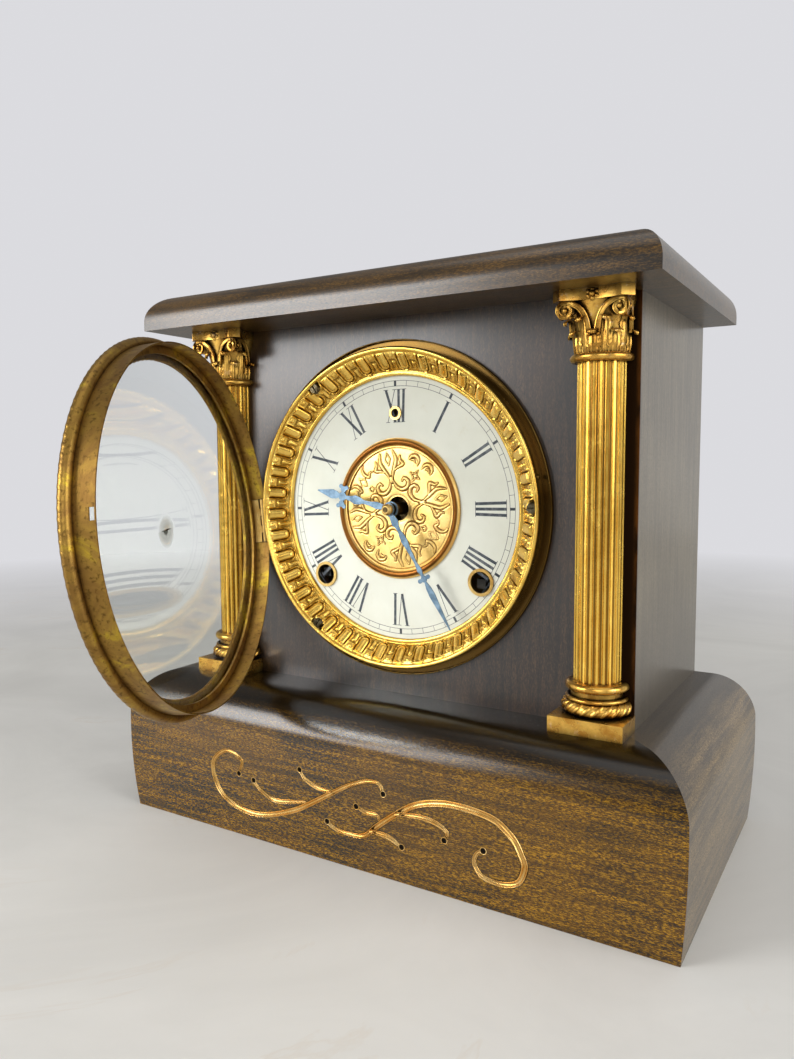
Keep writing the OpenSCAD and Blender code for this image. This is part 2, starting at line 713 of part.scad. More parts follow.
// Rounded eggs that stand on the slope, each sunk a little into it
module stamped_eggs(r) {
    for (i = [0:eggs - 1]) rotate([0, 0, (i + 0.5) * 360 / eggs]) translate([slope_foot.x, 0, slope_foot.y])
        rotate([0, 90 - slope_angle, 0]) translate([egg_sink, 0, egg_foot]) {
            sphere(r, $fn = 24);
            cylinder(r = r, h = slope_l - egg_foot - egg_crest, $fn = 24);
        }
}
module dial_ring() {
    brass() on_dial() difference() {
        union() {
            rotate_extrude($fn = 192) ring_section();
            stamped_eggs(egg_r);
            for (a = ring_screw_angles) rotate([0, 0, a]) translate([ring_screw_r, 0, 0])
                cylinder(r = ring_pad_r, h = ring_pad_z);
            rotate([0, 0, latch_angle]) translate([ring_r - 0.3, 0, latch_z]) sphere(latch_r, $fn = 24);
        }
        stamped_eggs(egg_r - egg_wall);
        for (a = ring_screw_angles) rotate([0, 0, a]) {
            translate([ring_screw_r, 0, ring_pad_z]) cylinder(r = ring_pad_r, h = ring_h);
            translate([ring_screw_r, 0, -past]) cylinder(r = ring_screw_shank + run, h = ring_h);
        }
    }
}
module dial_ring_screws() {
    steel() on_dial() for (a = ring_screw_angles) rotate([0, 0, a]) translate([ring_screw_r, 0, 0])
        difference() {
            union() {
                translate([0, 0, ring_pad_z]) cylinder(r1 = 2.7, r2 = 2.1, h = 1.3);
                translate([0, 0, 0.5 - ring_screw_l])
                    cylinder(r = ring_screw_shank, h = ring_screw_l + ring_pad_z);
            }
            translate([-ring_pad_r, -0.35, ring_pad_z + 0.7]) cube([2 * ring_pad_r, 0.7, past]);
        }
}
module on_dial_turned() { on_dial() rotate([0, 0, dial_turn]) children(); }
module at_grommets() {
    for (s = [-1, 1]) translate([s * winding_x, -winding_z, 0]) children();
}
module dial_pan() {
    color([0.9, 0.88, 0.82]) on_dial_turned() difference() {
        translate([0, 0, -rebate_d]) cylinder(r = pan_r, h = pan_t, $fn = 192);
        translate([0, 0, -rebate_d - past]) {
            cylinder(r = centre_r - 3.5, h = pan_t + 2 * past, $fn = 128);
            at_grommets() cylinder(r = winding_hole_r + grommet_wall + run, h = pan_t + 2 * past);
            translate([0, regulator_z, 0])
                cylinder(r = regulator_hole_r + grommet_wall + run, h = pan_t + 2 * past);
        }
    }
}
module dial_centre() {
    gilt() on_dial_turned() rotate_extrude($fn = 192) difference() {
        union() {
            translate([centre_hole_r, -rebate_d - 0.2]) square([centre_r - centre_hole_r - 4, sheet]);
            translate([centre_r - 4.2, -rebate_d - 0.2]) square([sheet, 1.4]);
            translate([centre_r - 4.2, -dial_depth + run]) square([4.2, sheet]);
            translate([centre_r - 1.9, -dial_depth + run]) circle(1.9, $fn = 48);
        }
        translate([centre_r - 3.55, -dial_depth - 3 + run]) square([8, 3]);
    }
}
module grommet(hole_r, flange_r) {
    difference() {
        union() {
            translate([0, 0, -dial_depth]) cylinder(r = flange_r, h = 0.8);
            translate([0, 0, -rebate_d - 0.7]) cylinder(r = hole_r + grommet_wall, h = 1.6);
        }
        translate([0, 0, -rebate_d - past]) cylinder(r = hole_r, h = 4);
    }
}
module dial_grommets() {
    brass() on_dial_turned() {
        at_grommets() grommet(winding_hole_r, winding_grommet_r);
        translate([0, regulator_z, 0]) grommet(regulator_hole_r, regulator_grommet_r);
    }
}

// Glass door
module hinge_knuckles(first, bore) {
    at_hinge() for (k = [first:2:knuckle_n - 1])
        translate([0, -hinge_len / 2 + k * knuckle_l + (first == 0 ? 0 : slip / 2), 0])
            rotate([-90, 0, 0]) difference() {
                cylinder(r = knuckle_r, h = knuckle_l - (first == 0 ? 0 : slip));
                translate([0, 0, -past]) cylinder(r = bore, h = knuckle_l + 2 * past);
            }
}
// A curved leaf: part of a ring about the dial's axis, centred on the hinge
module curved_leaf(inner, outer, z0, z1) {
    half_angle = asin(hinge_len / 2 / outer);
    rotate([0, 0, 180 + hinge_low - half_angle]) rotate_extrude(angle = 2 * half_angle, $fn = 192)
        translate([inner, z0]) square([outer - inner, z1 - z0]);
}
module hinge_slots(first) {
    at_hinge() for (k = [first:2:knuckle_n - 1])
        translate([-4, -hinge_len / 2 + k * knuckle_l - slip, -knuckle_r - slip])
        cube([8, knuckle_l + 2 * slip, 2 * knuckle_r + 2 * slip]);
}
module door_fixed_leaf() {
    brass() on_dial() {
        difference() {
            union() {
                curved_leaf(ring_r + run, ring_r + sheet, 0.8, hinge_z + 0.6);
                curved_leaf(ring_r + run, hinge_r - 0.5, hinge_z - 0.6, hinge_z + 0.4);
            }
            hinge_slots(1);
        }
        hinge_knuckles(0, pin_r / 2);
        at_hinge() rotate([90, 0, 0]) cylinder(r = pin_r, h = hinge_len, center = true);
    }
}
module door_moving_leaf() {
    brass() door_open() {
        difference() {
            curved_leaf(bezel_in - 0.7, bezel_in - run, hinge_z - 0.4, retainer_z - slip / 2);
            hinge_slots(0);
            at_hinge() rotate([90, 0, 0]) cylinder(r = pin_r + run, h = hinge_len + 2, center = true);
        }
        hinge_knuckles(1, pin_r + run);
    }
}
module bezel_section() {
    difference() {
        union() {
            translate([bezel_in, bezel_z]) square([sheet, bezel_d - rope_tube]);
            translate([rope_r - rope_tube, bezel_top - rope_tube]) circle(rope_tube, $fn = 48);
            translate([bezel_in - 4.6, bezel_top - 2.2]) square([5, 1.2]);
            translate([bezel_in - 4.6, bezel_top - 1.6]) circle(0.8, $fn = 32);
        }
        translate([bezel_in - 10, bezel_top - 4.4]) square([9.8, 2.1]);
    }
}
module door_bezel() {
    brass() door_open() difference() {
        rotate_extrude($fn = 192) bezel_section();
        at_hinge() translate([-4, -hinge_len / 2 - slip, bezel_z - hinge_z - past])
            cube([8, hinge_len + 2 * slip, hinge_z + knuckle_r + slip - bezel_z + past]);
        rotate([0, 0, latch_angle]) translate([bezel_in - 2, -2.2, bezel_z + 0.4]) cube([4, 4.4, 2]);
    }
}
module door_glass() {
    color([0.85, 0.92, 0.92, 0.3]) door_open() rotate_extrude($fn = 192) intersection() {
        translate([0, glass_z - glass_t]) square([glass_edge_r, glass_rise + 2 * glass_t]);
        translate([0, glass_z + glass_rise - glass_sphere_r]) difference() {
            circle(glass_sphere_r, $fn = 1440);
            circle(glass_sphere_r - glass_t, $fn = 1440);
        }
    }
}
module glass_retainer() {
    brass() door_open() ring(bezel_in - run, bezel_in - 3.2, retainer_z, 1);
}

// Hands
module hand_slab(z, angle) {
    on_dial() rotate([0, 0, angle]) translate([0, 0, z]) linear_extrude(hand_t) children();
}
// A leaf-shaped blade along x, from a to b, with its widest half width w at m
module blade(a, m, b, w, end_w) {
    polygon([[a, -end_w], [(a + m) / 2, -0.8 * w], [m, -w], [(m + b) / 2, -0.55 * w], [b, -end_w],
        [b, end_w], [(m + b) / 2, 0.55 * w], [m, w], [(a + m) / 2, 0.8 * w], [a, end_w]]);
}
module hour_hand() {
    blued() hand_slab(hour_hand_z, hour_angle) difference() {
        union() {
            circle(hour_hub_r);
            blade(3, 8, 16, 1.7, 0.9);
            blade(15, 20, 26, 2.1, 0.7);
            blade(28, 33.5, 41.8, 2.2, 0.25);
            translate([27.3, 0]) circle(2.1, $fn = 32);
            for (s = [-1, 1]) {
                translate([27.3, 3.4 * s]) circle(1.5, $fn = 24);
                translate([25.6, 4.4 * s]) circle(1, $fn = 24);
                translate([29, 4.6 * s]) circle(1, $fn = 24);
                translate([26.9, s > 0 ? 0 : -3.4]) square([0.9, 3.4]);
            }
        }
        circle(hour_pipe_r + run / 2);
    }
}
module minute_hand() {
    blued() hand_slab(minute_hand_z, minute_angle) difference() {
        union() {
            circle(minute_hub_r);
            blade(2.5, 7, 11, 1.9, 0.8);
            blade(10.5, 16, 28, 1.6, 0.6);
            blade(27.5, 31, 35, 1.2, 0.6);
            blade(36, 43.5, 61, 1.5, 0.2);
            translate([35.4, 0]) circle(1.5, $fn = 32);
            for (s = [-1, 1]) {
                translate([35.4, 2.3 * s]) circle(1, $fn = 24);
                translate([34.8, s > 0 ? 0 : -2.3]) square([0.9, 2.3]);
            }
        }
        circle(centre_tip_r + run / 2);
    }
}
module hand_collet() {
    brass() on_dial() translate([0, 0, minute_hand_z + hand_t]) difference() {
        union() {
            cylinder(r = 2.6, h = collet_h * 0.6);
            translate([0, 0, collet_h * 0.6]) cylinder(r1 = 2.6, r2 = 1.7, h = collet_h * 0.4);
        }
        translate([0, 0, -past]) cylinder(r = centre_tip_r + run / 2, h = collet_h + 2 * past);
    }
}

// Movement's frame
module rounded_rect(x0, x1, y0, y1, r) {
    translate([x0 + r, y0]) square([x1 - x0 - 2 * r, y1 - y0]);
    translate([x0, y0 + r]) square([x1 - x0, y1 - y0 - 2 * r]);
    for (x = [x0 + r, x1 - r]) for (y = [y0 + r, y1 - r]) translate([x, y]) circle(r);
}
module holes(places, r) { for (p = places) translate(p) circle(r + run); }
module plate_shape() {
    difference() {
        rounded_rect(-plate_half, plate_half, plate_low, plate_high, plate_round);
        holes(pillars, pillar_end_r);
        holes([second_at, pin_at, hammer_at], pivot_r);
        holes([third_at, escape_at], fine_pivot_r);
        holes([regulator_at], regulator_r);
        for (s = [-1, 1]) {
            translate([s * (plate_half + side_cut_out), -6]) circle(side_cut_r, $fn = 128);
            translate([s * 12, -50]) circle(low_cut_r);
        }
    }
}
module front_plate() {
    brass() on_dial() {
        difference() {
            union() {
                behind(front_plate_d, plate_t) {
                    difference() {
                        plate_shape();
                        holes([time_at, strike_at], winding_r);
                        holes([centre_at], centre_arbor_r);
                        holes([verge_at], verge_pivot_r);
                    }
                    for (e = ears) {
                        translate(e) circle(ear_r);
                        translate([e.x > 0 ? plate_half - 4 : e.x, e.y - ear_r])
                            square([abs(e.x) - plate_half + 4, 2 * ear_r]);
                    }
                }
                for (e = ears) rod(e, ear_r - 1, panel_t, front_plate_d - panel_t);
            }
            for (e = ears) rod(e, screw_r + run, panel_t - past, front_plate_d + past);
        }
        rod(minute_at, stud_r, hour_wheel_d - 1, front_plate_d - hour_wheel_d + 1);
    }
}
module back_plate() {
    brass() on_dial() {
        behind(back_plate_d, plate_t) difference() {
            plate_shape();
            holes([time_at, strike_at], winding_pivot_r);
            holes([centre_at], centre_pivot_r);
            holes([verge_at], verge_pivot_r);
            translate(hammer_at) circle(hammer_arbor_r + run);
        }
        // Suspension cock, with the slot that holds the pendulum's spring
        difference() {
            translate([-9, verge_z + 5, -movement_back_d - cock_l]) cube([12, 3, cock_l]);
            translate([-5, verge_z, -movement_back_d - cock_gap]) cube([9, 9, cock_gap + past]);
            translate([-cock_slot, verge_z, -movement_back_d - cock_l - past])
                cube([2 * cock_slot, 9, cock_l - cock_gap + 2 * past]);
        }
        for (z = slide_pins) {
            rod([slide_pin_x, z], slide_pin_r, movement_back_d - past,
                slide_d + slide_t + 2 * slip + past - movement_back_d);
            rod([slide_pin_x, z], slide_pin_r + 0.7, movement_back_d - past / 2,
                slide_d - slip + past / 2 - movement_back_d);
            rod([slide_pin_x, z], slide_pin_r + 0.7, slide_d + slide_t + slip, 0.8);
        }
        rod([hammer_at.x + stop_arm_w / 2 + 1.1, hammer_at.y - 7], 1, movement_back_d - past, 3 + past);
    }
}
module plate_pillars() {
    brass() on_dial() for (p = pillars) {
        rod(p, pillar_r, gap_d, plate_gap);
        rod(p, pillar_end_r, front_plate_d - 0.4, plate_gap + 2 * plate_t + 3);
        translate([p.x, p.y, -movement_back_d - 2.2]) cylinder(r = 3.2, h = 2.2, $fn = 6);
    }
}
module movement_screws() {
    steel() on_dial() for (e = ears) difference() {
        union() {
            rod(e, screw_r, panel_t - screw_in, gap_d - panel_t + screw_in + past);
            rod(e, screw_head_r, gap_d, screw_head_t);
        }
        translate([e.x - 4, e.y - 0.4, -gap_d - screw_head_t - past]) cube([8, 0.8, past + 0.8]);
    }
}

// Wheels and arbors
module toothed(at, teeth, m, d, t, turn, hub) {
    rim = teeth * m / 2 - 1.35 * m - 1.6;
    translate([at.x, at.y, 0]) behind(d, t) difference() {
        rotate(turn) polygon(wheel_outline(teeth, m));
        difference() {
            circle(rim);
            circle(hub);
            for (a = [0:90:270]) rotate(a) translate([0, -1.2]) square([rim + past, 2.4]);
        }
    }
}
module leaved(at, leaves, m, d, l, turn) {
    translate([at.x, at.y, 0]) behind(d, l) rotate(turn) polygon(pinion_outline(leaves, m));
}
module arbor(at, r, pivot) {
    rod(at, r, gap_d + end_play, plate_gap - 2 * end_play);
    rod(at, pivot, front_plate_d + end_play, plate_gap + 2 * plate_t - 2 * end_play);
}
// Turn of a pinion at b whose gap faces a wheel's tooth from a
function facing(a, b, leaves) = bearing(a, b) + 180 + 180 / leaves;
module centre_arbor() {
    steel() on_dial() {
        rod(centre_at, centre_pivot_r, back_plate_d - end_play - past, plate_t + past);
        rod(centre_at, centre_arbor_r, 0, back_plate_d - end_play);
        translate([0, 0, -past]) cylinder(r = centre_arbor_r, h = minute_hand_z + past);
        cylinder(r = centre_tip_r, h = minute_hand_z + hand_t + collet_h + 0.3);
        leaved(centre_at, cannon_leaves, cannon_m, cannon_d, 2.5,
            facing(minute_at, centre_at, cannon_leaves));
    }
}
module minute_wheel() {
    brass() on_dial() difference() {
        union() {
            toothed(minute_at, minute_teeth, cannon_m, minute_wheel_d, thin_t,
                bearing(minute_at, centre_at), 3.2);
            leaved(minute_at, minute_leaves, hour_m, hour_wheel_d - 0.6,
                minute_wheel_d - hour_wheel_d + 0.7, facing(centre_at, minute_at, minute_leaves));
        }
        rod(minute_at, stud_r + run, hour_wheel_d - 2, minute_wheel_d);
    }
}
module hour_wheel() {
    brass() on_dial() difference() {
        union() {
            toothed(centre_at, hour_teeth, hour_m, hour_wheel_d, thin_t, bearing(centre_at, minute_at),
                4.5);
            translate([0, 0, -hour_wheel_d - thin_t])
                cylinder(r = hour_pipe_r, h = hour_wheel_d + thin_t + hour_hand_z + hand_t);
        }
        translate([0, 0, -hour_wheel_d - thin_t - past])
            cylinder(r = centre_arbor_r + run, h = hour_wheel_d + thin_t + hour_hand_z + hand_t + 2 * past);
    }
}
module great_wheel(at, mate) {
    brass() on_dial() {
        difference() {
            toothed(at, great_teeth, great_m, great_d, great_t, bearing(at, mate), 6);
            rod(at, winding_r + run, great_d - past, great_t + 2 * past);
        }
        rod([at.x + click_reach, at.y], stud_r, great_d, great_t + ratchet_t + 3 * slip);
        rod([at.x + click_reach, at.y], stud_r + 0.8, ratchet_d + ratchet_t + slip, 0.7);
    }
}
module winding_arbor(at) {
    steel() on_dial() {
        rod(at, winding_r, front_plate_d - 0.5, plate_gap + plate_t);
        rod(at, winding_pivot_r, back_plate_d - past, plate_t + past - end_play / 2);
        translate([at.x, at.y, 0]) {
            behind(dial_depth + pan_t + 1.1, front_plate_d - dial_depth - pan_t - 1.1)
                square(winding_square, center = true);
            behind(ratchet_d, ratchet_t) polygon(ratchet_outline(20, ratchet_r));
        }
    }
}
module click(at) {
    steel() on_dial() translate([at.x, at.y, 0]) behind(ratchet_d, ratchet_t) difference() {
        union() {
            translate([click_reach, 0]) circle(2);
            polygon([[click_reach + 1.4, 1.4], pol(ratchet_r + 0.4, 34), pol(ratchet_r + 0.3, 26),
                [click_reach - 1.6, -1.1]]);
        }
        translate([click_reach, 0]) circle(stud_r + run);
    }
}
module ring_2d(r) {
    difference() {
        circle(r + spring_t / 2, $fn = 96);
        circle(r - spring_t / 2, $fn = 96);
    }
}
// A strip wound in half turns, each a little wider than the last, that ends in a loop round a pillar
module mainspring(at, pillar) {
    step = spring_pitch / 2;
    out_r = spring_in_r + spring_halves * step;
    reach = norm(pillar - at);
    tail = sqrt(pow(reach, 2) - pow(out_r, 2));
    tail_turn = acos(out_r / reach);
    steel() on_dial() translate([at.x, at.y, 0]) behind(spring_d, spring_w) rotate(-90) {
        intersection() {
            ring_2d(out_r);
            rotate(-tail_turn) square([40, 40]);
            translate([0, -40]) square([40, 40]);
        }
        for (k = [0:spring_halves]) translate([k % 2 * step, 0]) rotate(k % 2 * 180) intersection() {
            ring_2d(spring_in_r + k * step);
            translate([-40, 0]) square([80, 40]);
        }
        difference() {
            union() {
                translate([reach, 0]) circle(pillar_r + 0.1 + spring_t);
                rotate(-tail_turn) translate([out_r - spring_t / 2, 0]) square([spring_t, tail]);
            }
            translate([reach, 0]) circle(pillar_r + 0.1);
        }
    }
}
module time_great_wheel() { great_wheel(time_at, second_at); }
module strike_great_wheel() { great_wheel(strike_at, pin_at); }
module time_winding_arbor() { winding_arbor(time_at); }
module strike_winding_arbor() { winding_arbor(strike_at); }
module time_click() { click(time_at); }
module strike_click() { click(strike_at); }
module time_mainspring() { mainspring(time_at, pillars[2]); }
module strike_mainspring() { mainspring(strike_at, pillars[3]); }
module second_wheel() {
    brass() on_dial() {
        arbor(second_at, arbor_r, pivot_r);
        toothed(second_at, second_teeth, second_m, second_d, wheel_t, bearing(second_at, centre_at), 4);
        leaved(second_at, second_leaves, great_m, great_d - 0.7, great_t + 2,
            facing(time_at, second_at, second_leaves));
    }
}
module centre_wheel() {
    brass() on_dial() difference() {
        union() {
            rod(centre_at, sleeve_r, centre_wheel_d - past, back_plate_d - end_play - centre_wheel_d);
            toothed(centre_at, centre_teeth, centre_m, centre_wheel_d, thin_t,
                bearing(centre_at, third_at), 4);
            leaved(centre_at, centre_leaves, second_m, second_d - past, wheel_t + 2 * past,
                facing(second_at, centre_at, centre_leaves));
        }
        rod(centre_at, centre_arbor_r + run, centre_wheel_d - 2 * past,
            back_plate_d - centre_wheel_d + 2 * past);
    }
}
module third_wheel() {
    brass() on_dial() {
        arbor(third_at, slim_r, fine_pivot_r);
        toothed(third_at, third_teeth, third_m, third_wheel_d, thin_t, bearing(third_at, escape_at), 3);
        leaved(third_at, third_leaves, centre_m, centre_wheel_d - 1.5, thin_t + 3,
            facing(centre_at, third_at, third_leaves));
    }
}
module escape_wheel() {
    brass() on_dial() {
        arbor(escape_at, slim_r, fine_pivot_r);
        leaved(escape_at, escape_leaves, third_m, third_wheel_d - 2, thin_t + 4,
            facing(third_at, escape_at, escape_leaves));
        translate([escape_at.x, escape_at.y, 0]) behind(escape_d, 1) difference() {
            polygon(escape_outline(escape_teeth, escape_r));
            difference() {
                circle(escape_r - 3.4);
                circle(2.4);
                for (a = [0:90:270]) rotate(a) translate([0, -0.7]) square([escape_r - 3, 1.4]);
            }
        }
    }
}
module verge() {
    steel() on_dial() {
        rod(verge_at, 1, gap_d + end_play, plate_gap - 2 * end_play);
        rod(verge_at, verge_pivot_r, front_plate_d + end_play, crutch_d + 1 - front_plate_d - end_play);
        translate([0, 0, -escape_d - 1.5]) linear_extrude(2) {
            translate(verge_at) circle(2);
            for (s = [-1, 1]) polygon([[0, verge_z + 1.6], [s * 9, verge_z - 1.4],
                escape_at + (escape_r + pallet_gap + 2.4) * [s * sin(pallet_at), cos(pallet_at)],
                escape_at + (escape_r + pallet_gap) * [s * sin(pallet_at), cos(pallet_at)],
                escape_at + (escape_r + pallet_gap + 0.6) *
                    [s * sin(pallet_at - 12), cos(pallet_at - 12)],
                [0, verge_z - 1.2]]);
        }
        behind(crutch_d, 1) {
            translate(verge_at) circle(1.5);
            translate([-0.7, verge_z - crutch_l]) square([1.4, crutch_l]);
            translate([-1.9, verge_z - crutch_l - 1]) square([3.8, 2]);
        }
        for (s = [-1, 1])
            rod([s * (rod_r + 0.6), verge_z - crutch_l], 0.5, crutch_d, pendulum_d + 2.5 - crutch_d);
    }
}
module pendulum_rod() {
    steel() on_dial() {
        translate([-spring_blade, verge_z - 12, -pendulum_d - 1.2]) cube([2 * spring_blade, 18.5, 2.4]);
        translate([0, verge_z - 10, -pendulum_d]) rotate([90, 0, 0]) {
            cylinder(r = 1.6, h = 6);
            cylinder(r = rod_r, h = pendulum_l + bob_r - 3);
        }
    }
}
// Point on the lens shaped bob's face, as radius and height
function bob_point(i) = let (r = bob_r * i / bob_steps)
    [r, sqrt(pow(bob_sphere, 2) - r * r) - bob_sphere + bob_t / 2];
module pendulum_bob() {
    brass() on_dial() translate([0, verge_z - pendulum_l, -pendulum_d]) {
        difference() {
            rotate_extrude($fn = 96) polygon(concat([for (i = [0:bob_steps]) bob_point(i)],
                [for (i = [bob_steps:-1:0]) [bob_point(i).x, -bob_point(i).y]]));
            rotate([90, 0, 0]) cylinder(r = rod_r + run, h = 3 * bob_r, center = true);
        }
        translate([0, -bob_r - 0.2, 0]) rotate([90, 0, 0]) difference() {
            cylinder(r = 3, h = 3);
            translate([0, 0, -past]) cylinder(r = rod_r + run, h = 5);
        }
    }
}
module regulator_arbor() {
    steel() on_dial() {
        rod(regulator_at, regulator_r, dial_depth + pan_t + 1.1,
            slide_d + slide_t + slip - dial_depth - pan_t - 1.1);
        leaved(regulator_at, slide_leaves, slide_m, slide_d, slide_t, 0);
    }
}
module regulator_slide() {
    brass() on_dial() {
        behind(slide_d, slide_t) difference() {
            union() {
                translate([slide_reach + 0.7, slide_pins[0] - 5])
                    square([4.6, slide_pins[1] - slide_pins[0] + 10]);
                for (k = [-3:2]) translate([slide_reach, regulator_z + (k + 0.5) * rack_pitch])
                    polygon([[-0.4, -0.16], [0.8, -0.5], [0.8, 0.5], [-0.4, 0.16]]);
            }
            for (z = slide_pins) translate([slide_pin_x, z]) {
                for (s = [-1, 1]) translate([0, s * 2.7]) circle(slide_pin_r + run);
                translate([-slide_pin_r - run, -2.7]) square([2 * (slide_pin_r + run), 5.4]);
            }
        }
        difference() {
            union() {
                translate([slide_reach + 0.7, verge_z - 1, -pendulum_d - 1.5])
                    cube([4.6, 2, pendulum_d + 1.5 - slide_d - slide_t / 2]);
                translate([-3, verge_z - 1, -pendulum_d - 1.5]) cube([slide_reach + 4, 2, 4]);
            }
            translate([-slide_slot, verge_z - 2, -pendulum_d - 2]) cube([2 * slide_slot, 4, 3.8]);
        }
    }
}
module strike_pin_wheel() {
    brass() on_dial() {
        arbor(pin_at, arbor_r, pivot_r);
        leaved(pin_at, second_leaves, great_m, great_d - 0.7, great_t + 2,
            facing(strike_at, pin_at, second_leaves));
        translate([pin_at.x, pin_at.y, 0]) behind(second_d, wheel_t) difference() {
            circle(pin_circle + 2.5);
            difference() {
                circle(pin_circle - 2);
                circle(3.5);
                for (a = [0:90:270]) rotate(a) translate([0, -1.1]) square([pin_circle, 2.2]);
            }
        }
        for (i = [0:pin_n - 1])
            rod(pin_at + pol(pin_circle, i * 360 / pin_n), 0.6, second_d + wheel_t / 2, wheel_t / 2 + 2.4);
    }
}

// Strike: hammer, and a spiral gong on an iron block
module hammer() {
    steel() on_dial() {
        rod(hammer_at, pivot_r, front_plate_d + end_play, plate_t + past);
        rod(hammer_at, hammer_arbor_r, gap_d + end_play, gong_d + 1.5 - gap_d - end_play);
        translate([hammer_at.x, hammer_at.y, -second_d - wheel_t - 2.2])
            rotate([0, 0, bearing(hammer_at, pin_at)]) translate([0, -0.9, 0]) cube([tail_l, 1.8, 1.4]);
        translate([hammer_at.x - stop_arm_w / 2, hammer_at.y - 9, -movement_back_d - 2.4])
            cube([stop_arm_w, 9, 1.6]);
        translate([hammer_at.x, hammer_at.y, -gong_d]) rotate([0, 0, bearing(hammer_at, head_at)])
            rotate([0, 90, 0]) cylinder(r = 0.9, h = norm(head_at - hammer_at));
        translate([head_at.x, head_at.y, -gong_d]) rotate([0, 90, 0])
            cylinder(r = head_r, h = head_l, center = true);
    }
}
module gong_coil() {
    blued() on_dial() translate([gong_at.x, gong_at.y, -gong_d]) {
        for (k = [0:gong_halves]) translate([k % 2 * gong_step, 0, 0]) rotate([0, 0, k % 2 * 180])
            rotate_extrude(angle = 180) translate([gong_in_r + k * gong_step, 0])
                circle(gong_wire, $fn = 24);
        rotate([0, 90, 0]) cylinder(r = gong_wire, h = gong_in_r, $fn = 24);
        translate([gong_in_r, 0, 0]) sphere(gong_wire, $fn = 24);
        translate([0, 0, gong_d - gong_block_d])
            cylinder(r = 4, h = gong_block_d - gong_d + gong_wire + 0.4);
    }
}
module gong_block() {
    black_iron() {
        translate([gong_at.x - 20, panel_y + gong_block_d - 6, bottom_t]) cube([40, 24, 6]);
        translate([gong_at.x - 7, panel_y + gong_block_d, bottom_t])
            cube([14, 10, dial_z + gong_at.y - bottom_t]);
        translate([gong_at.x, panel_y + gong_block_d, dial_z + gong_at.y]) rotate([-90, 0, 0])
            cylinder(r = 7, h = 10);
    }
}

top_board();
left_side_panel();
right_side_panel();
front_panel();
back_board();
base_front_moulding();
base_left_moulding();
base_right_moulding();
bottom_board();
back_door();
back_door_hinges();
back_door_leaves();
back_door_button();
left_capital();
left_shaft();
left_column_base();
right_capital();
right_shaft();
right_column_base();
dial_ring();
dial_ring_screws();
dial_pan();
dial_centre();
dial_grommets();
door_fixed_leaf();
door_bezel();
door_glass();
glass_retainer();
door_moving_leaf();
hour_hand();
minute_hand();
hand_collet();
front_plate();
back_plate();
plate_pillars();
movement_screws();
centre_arbor();
minute_wheel();
hour_wheel();
time_great_wheel();
time_winding_arbor();
time_click();
time_mainspring();
second_wheel();
centre_wheel();
third_wheel();
escape_wheel();
verge();
pendulum_rod();
pendulum_bob();
regulator_arbor();
regulator_slide();
strike_great_wheel();
strike_winding_arbor();
strike_click();
strike_mainspring();
strike_pin_wheel();
hammer();
gong_coil();
gong_block();
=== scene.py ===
"""The looks of the shelf clock: finishes, embossing, carving, dial print, glass, camera and light."""
import json
import math

import bpy
import numpy as np
from mathutils import Matrix, Vector


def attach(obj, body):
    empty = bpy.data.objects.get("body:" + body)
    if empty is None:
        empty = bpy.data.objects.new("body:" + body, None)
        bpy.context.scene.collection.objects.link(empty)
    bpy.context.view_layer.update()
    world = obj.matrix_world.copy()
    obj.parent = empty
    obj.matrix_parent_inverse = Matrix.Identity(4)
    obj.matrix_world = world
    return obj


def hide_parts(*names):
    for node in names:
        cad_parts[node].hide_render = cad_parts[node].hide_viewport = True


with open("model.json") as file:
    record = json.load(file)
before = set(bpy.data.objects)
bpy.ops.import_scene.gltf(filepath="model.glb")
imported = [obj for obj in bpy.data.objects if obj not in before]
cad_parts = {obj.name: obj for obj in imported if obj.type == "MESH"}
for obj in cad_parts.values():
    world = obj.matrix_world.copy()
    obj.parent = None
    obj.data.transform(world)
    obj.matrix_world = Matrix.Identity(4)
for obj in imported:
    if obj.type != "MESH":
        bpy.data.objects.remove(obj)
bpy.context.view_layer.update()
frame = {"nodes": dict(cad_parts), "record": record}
nodes = frame["nodes"]

# Sizes of the clock, in millimetres
PANEL_Y = -38.446
DIAL_Z = 156.5
DIAL_TURN = 1.25
PAN_FACE = -2.15
CENTRE_FACE = -2.25
RING_FOOT = (62.4, -0.85)
RING_CREST = (70.2, 6.9)
RING_SCREW_R = 69.0
RING_SCREW_ANGLES = (2, -126, 126)
DOOR_LOW = 5.8
DOOR_OPEN = 70.9
DOOR_HINGE_R = 74.3
DOOR_HINGE_Z = 4.9
ROPE_R = 75.9
ROPE_Z = 14.1
ROPE_TUBE = 2.4
COLUMN_X = 95.6
COLUMN_Y = PANEL_Y - 1.5
CAPITAL_Z = 216.0
COLUMN_FOOT_Z = 77.5
LEAF_FOOT = 3.2
BELL_HOLLOW = 67.9
SWELL_Z = 42.0
SWELL_Y = -74.246
SWELL_R = 370.0

MM = 0.001
metres = Matrix.Scale(MM, 4)
dial_place = Matrix.Translation((0, PANEL_Y, DIAL_Z)) @ Matrix.Rotation(math.radians(90), 4, "X")
print_place = dial_place @ Matrix.Rotation(math.radians(DIAL_TURN), 4, "Z")
low = math.radians(DOOR_LOW)
hinge_spot = Vector((-DOOR_HINGE_R * math.cos(low), -DOOR_HINGE_R * math.sin(low), DOOR_HINGE_Z))
hinge_line = Vector((-math.sin(low), math.cos(low), 0))
door_place = (
    dial_place
    @ Matrix.Translation(hinge_spot)
    @ Matrix.Rotation(math.radians(-DOOR_OPEN), 4, hinge_line)
    @ Matrix.Translation(-hinge_spot)
)


# ---------------------------------------------------------------- finishes


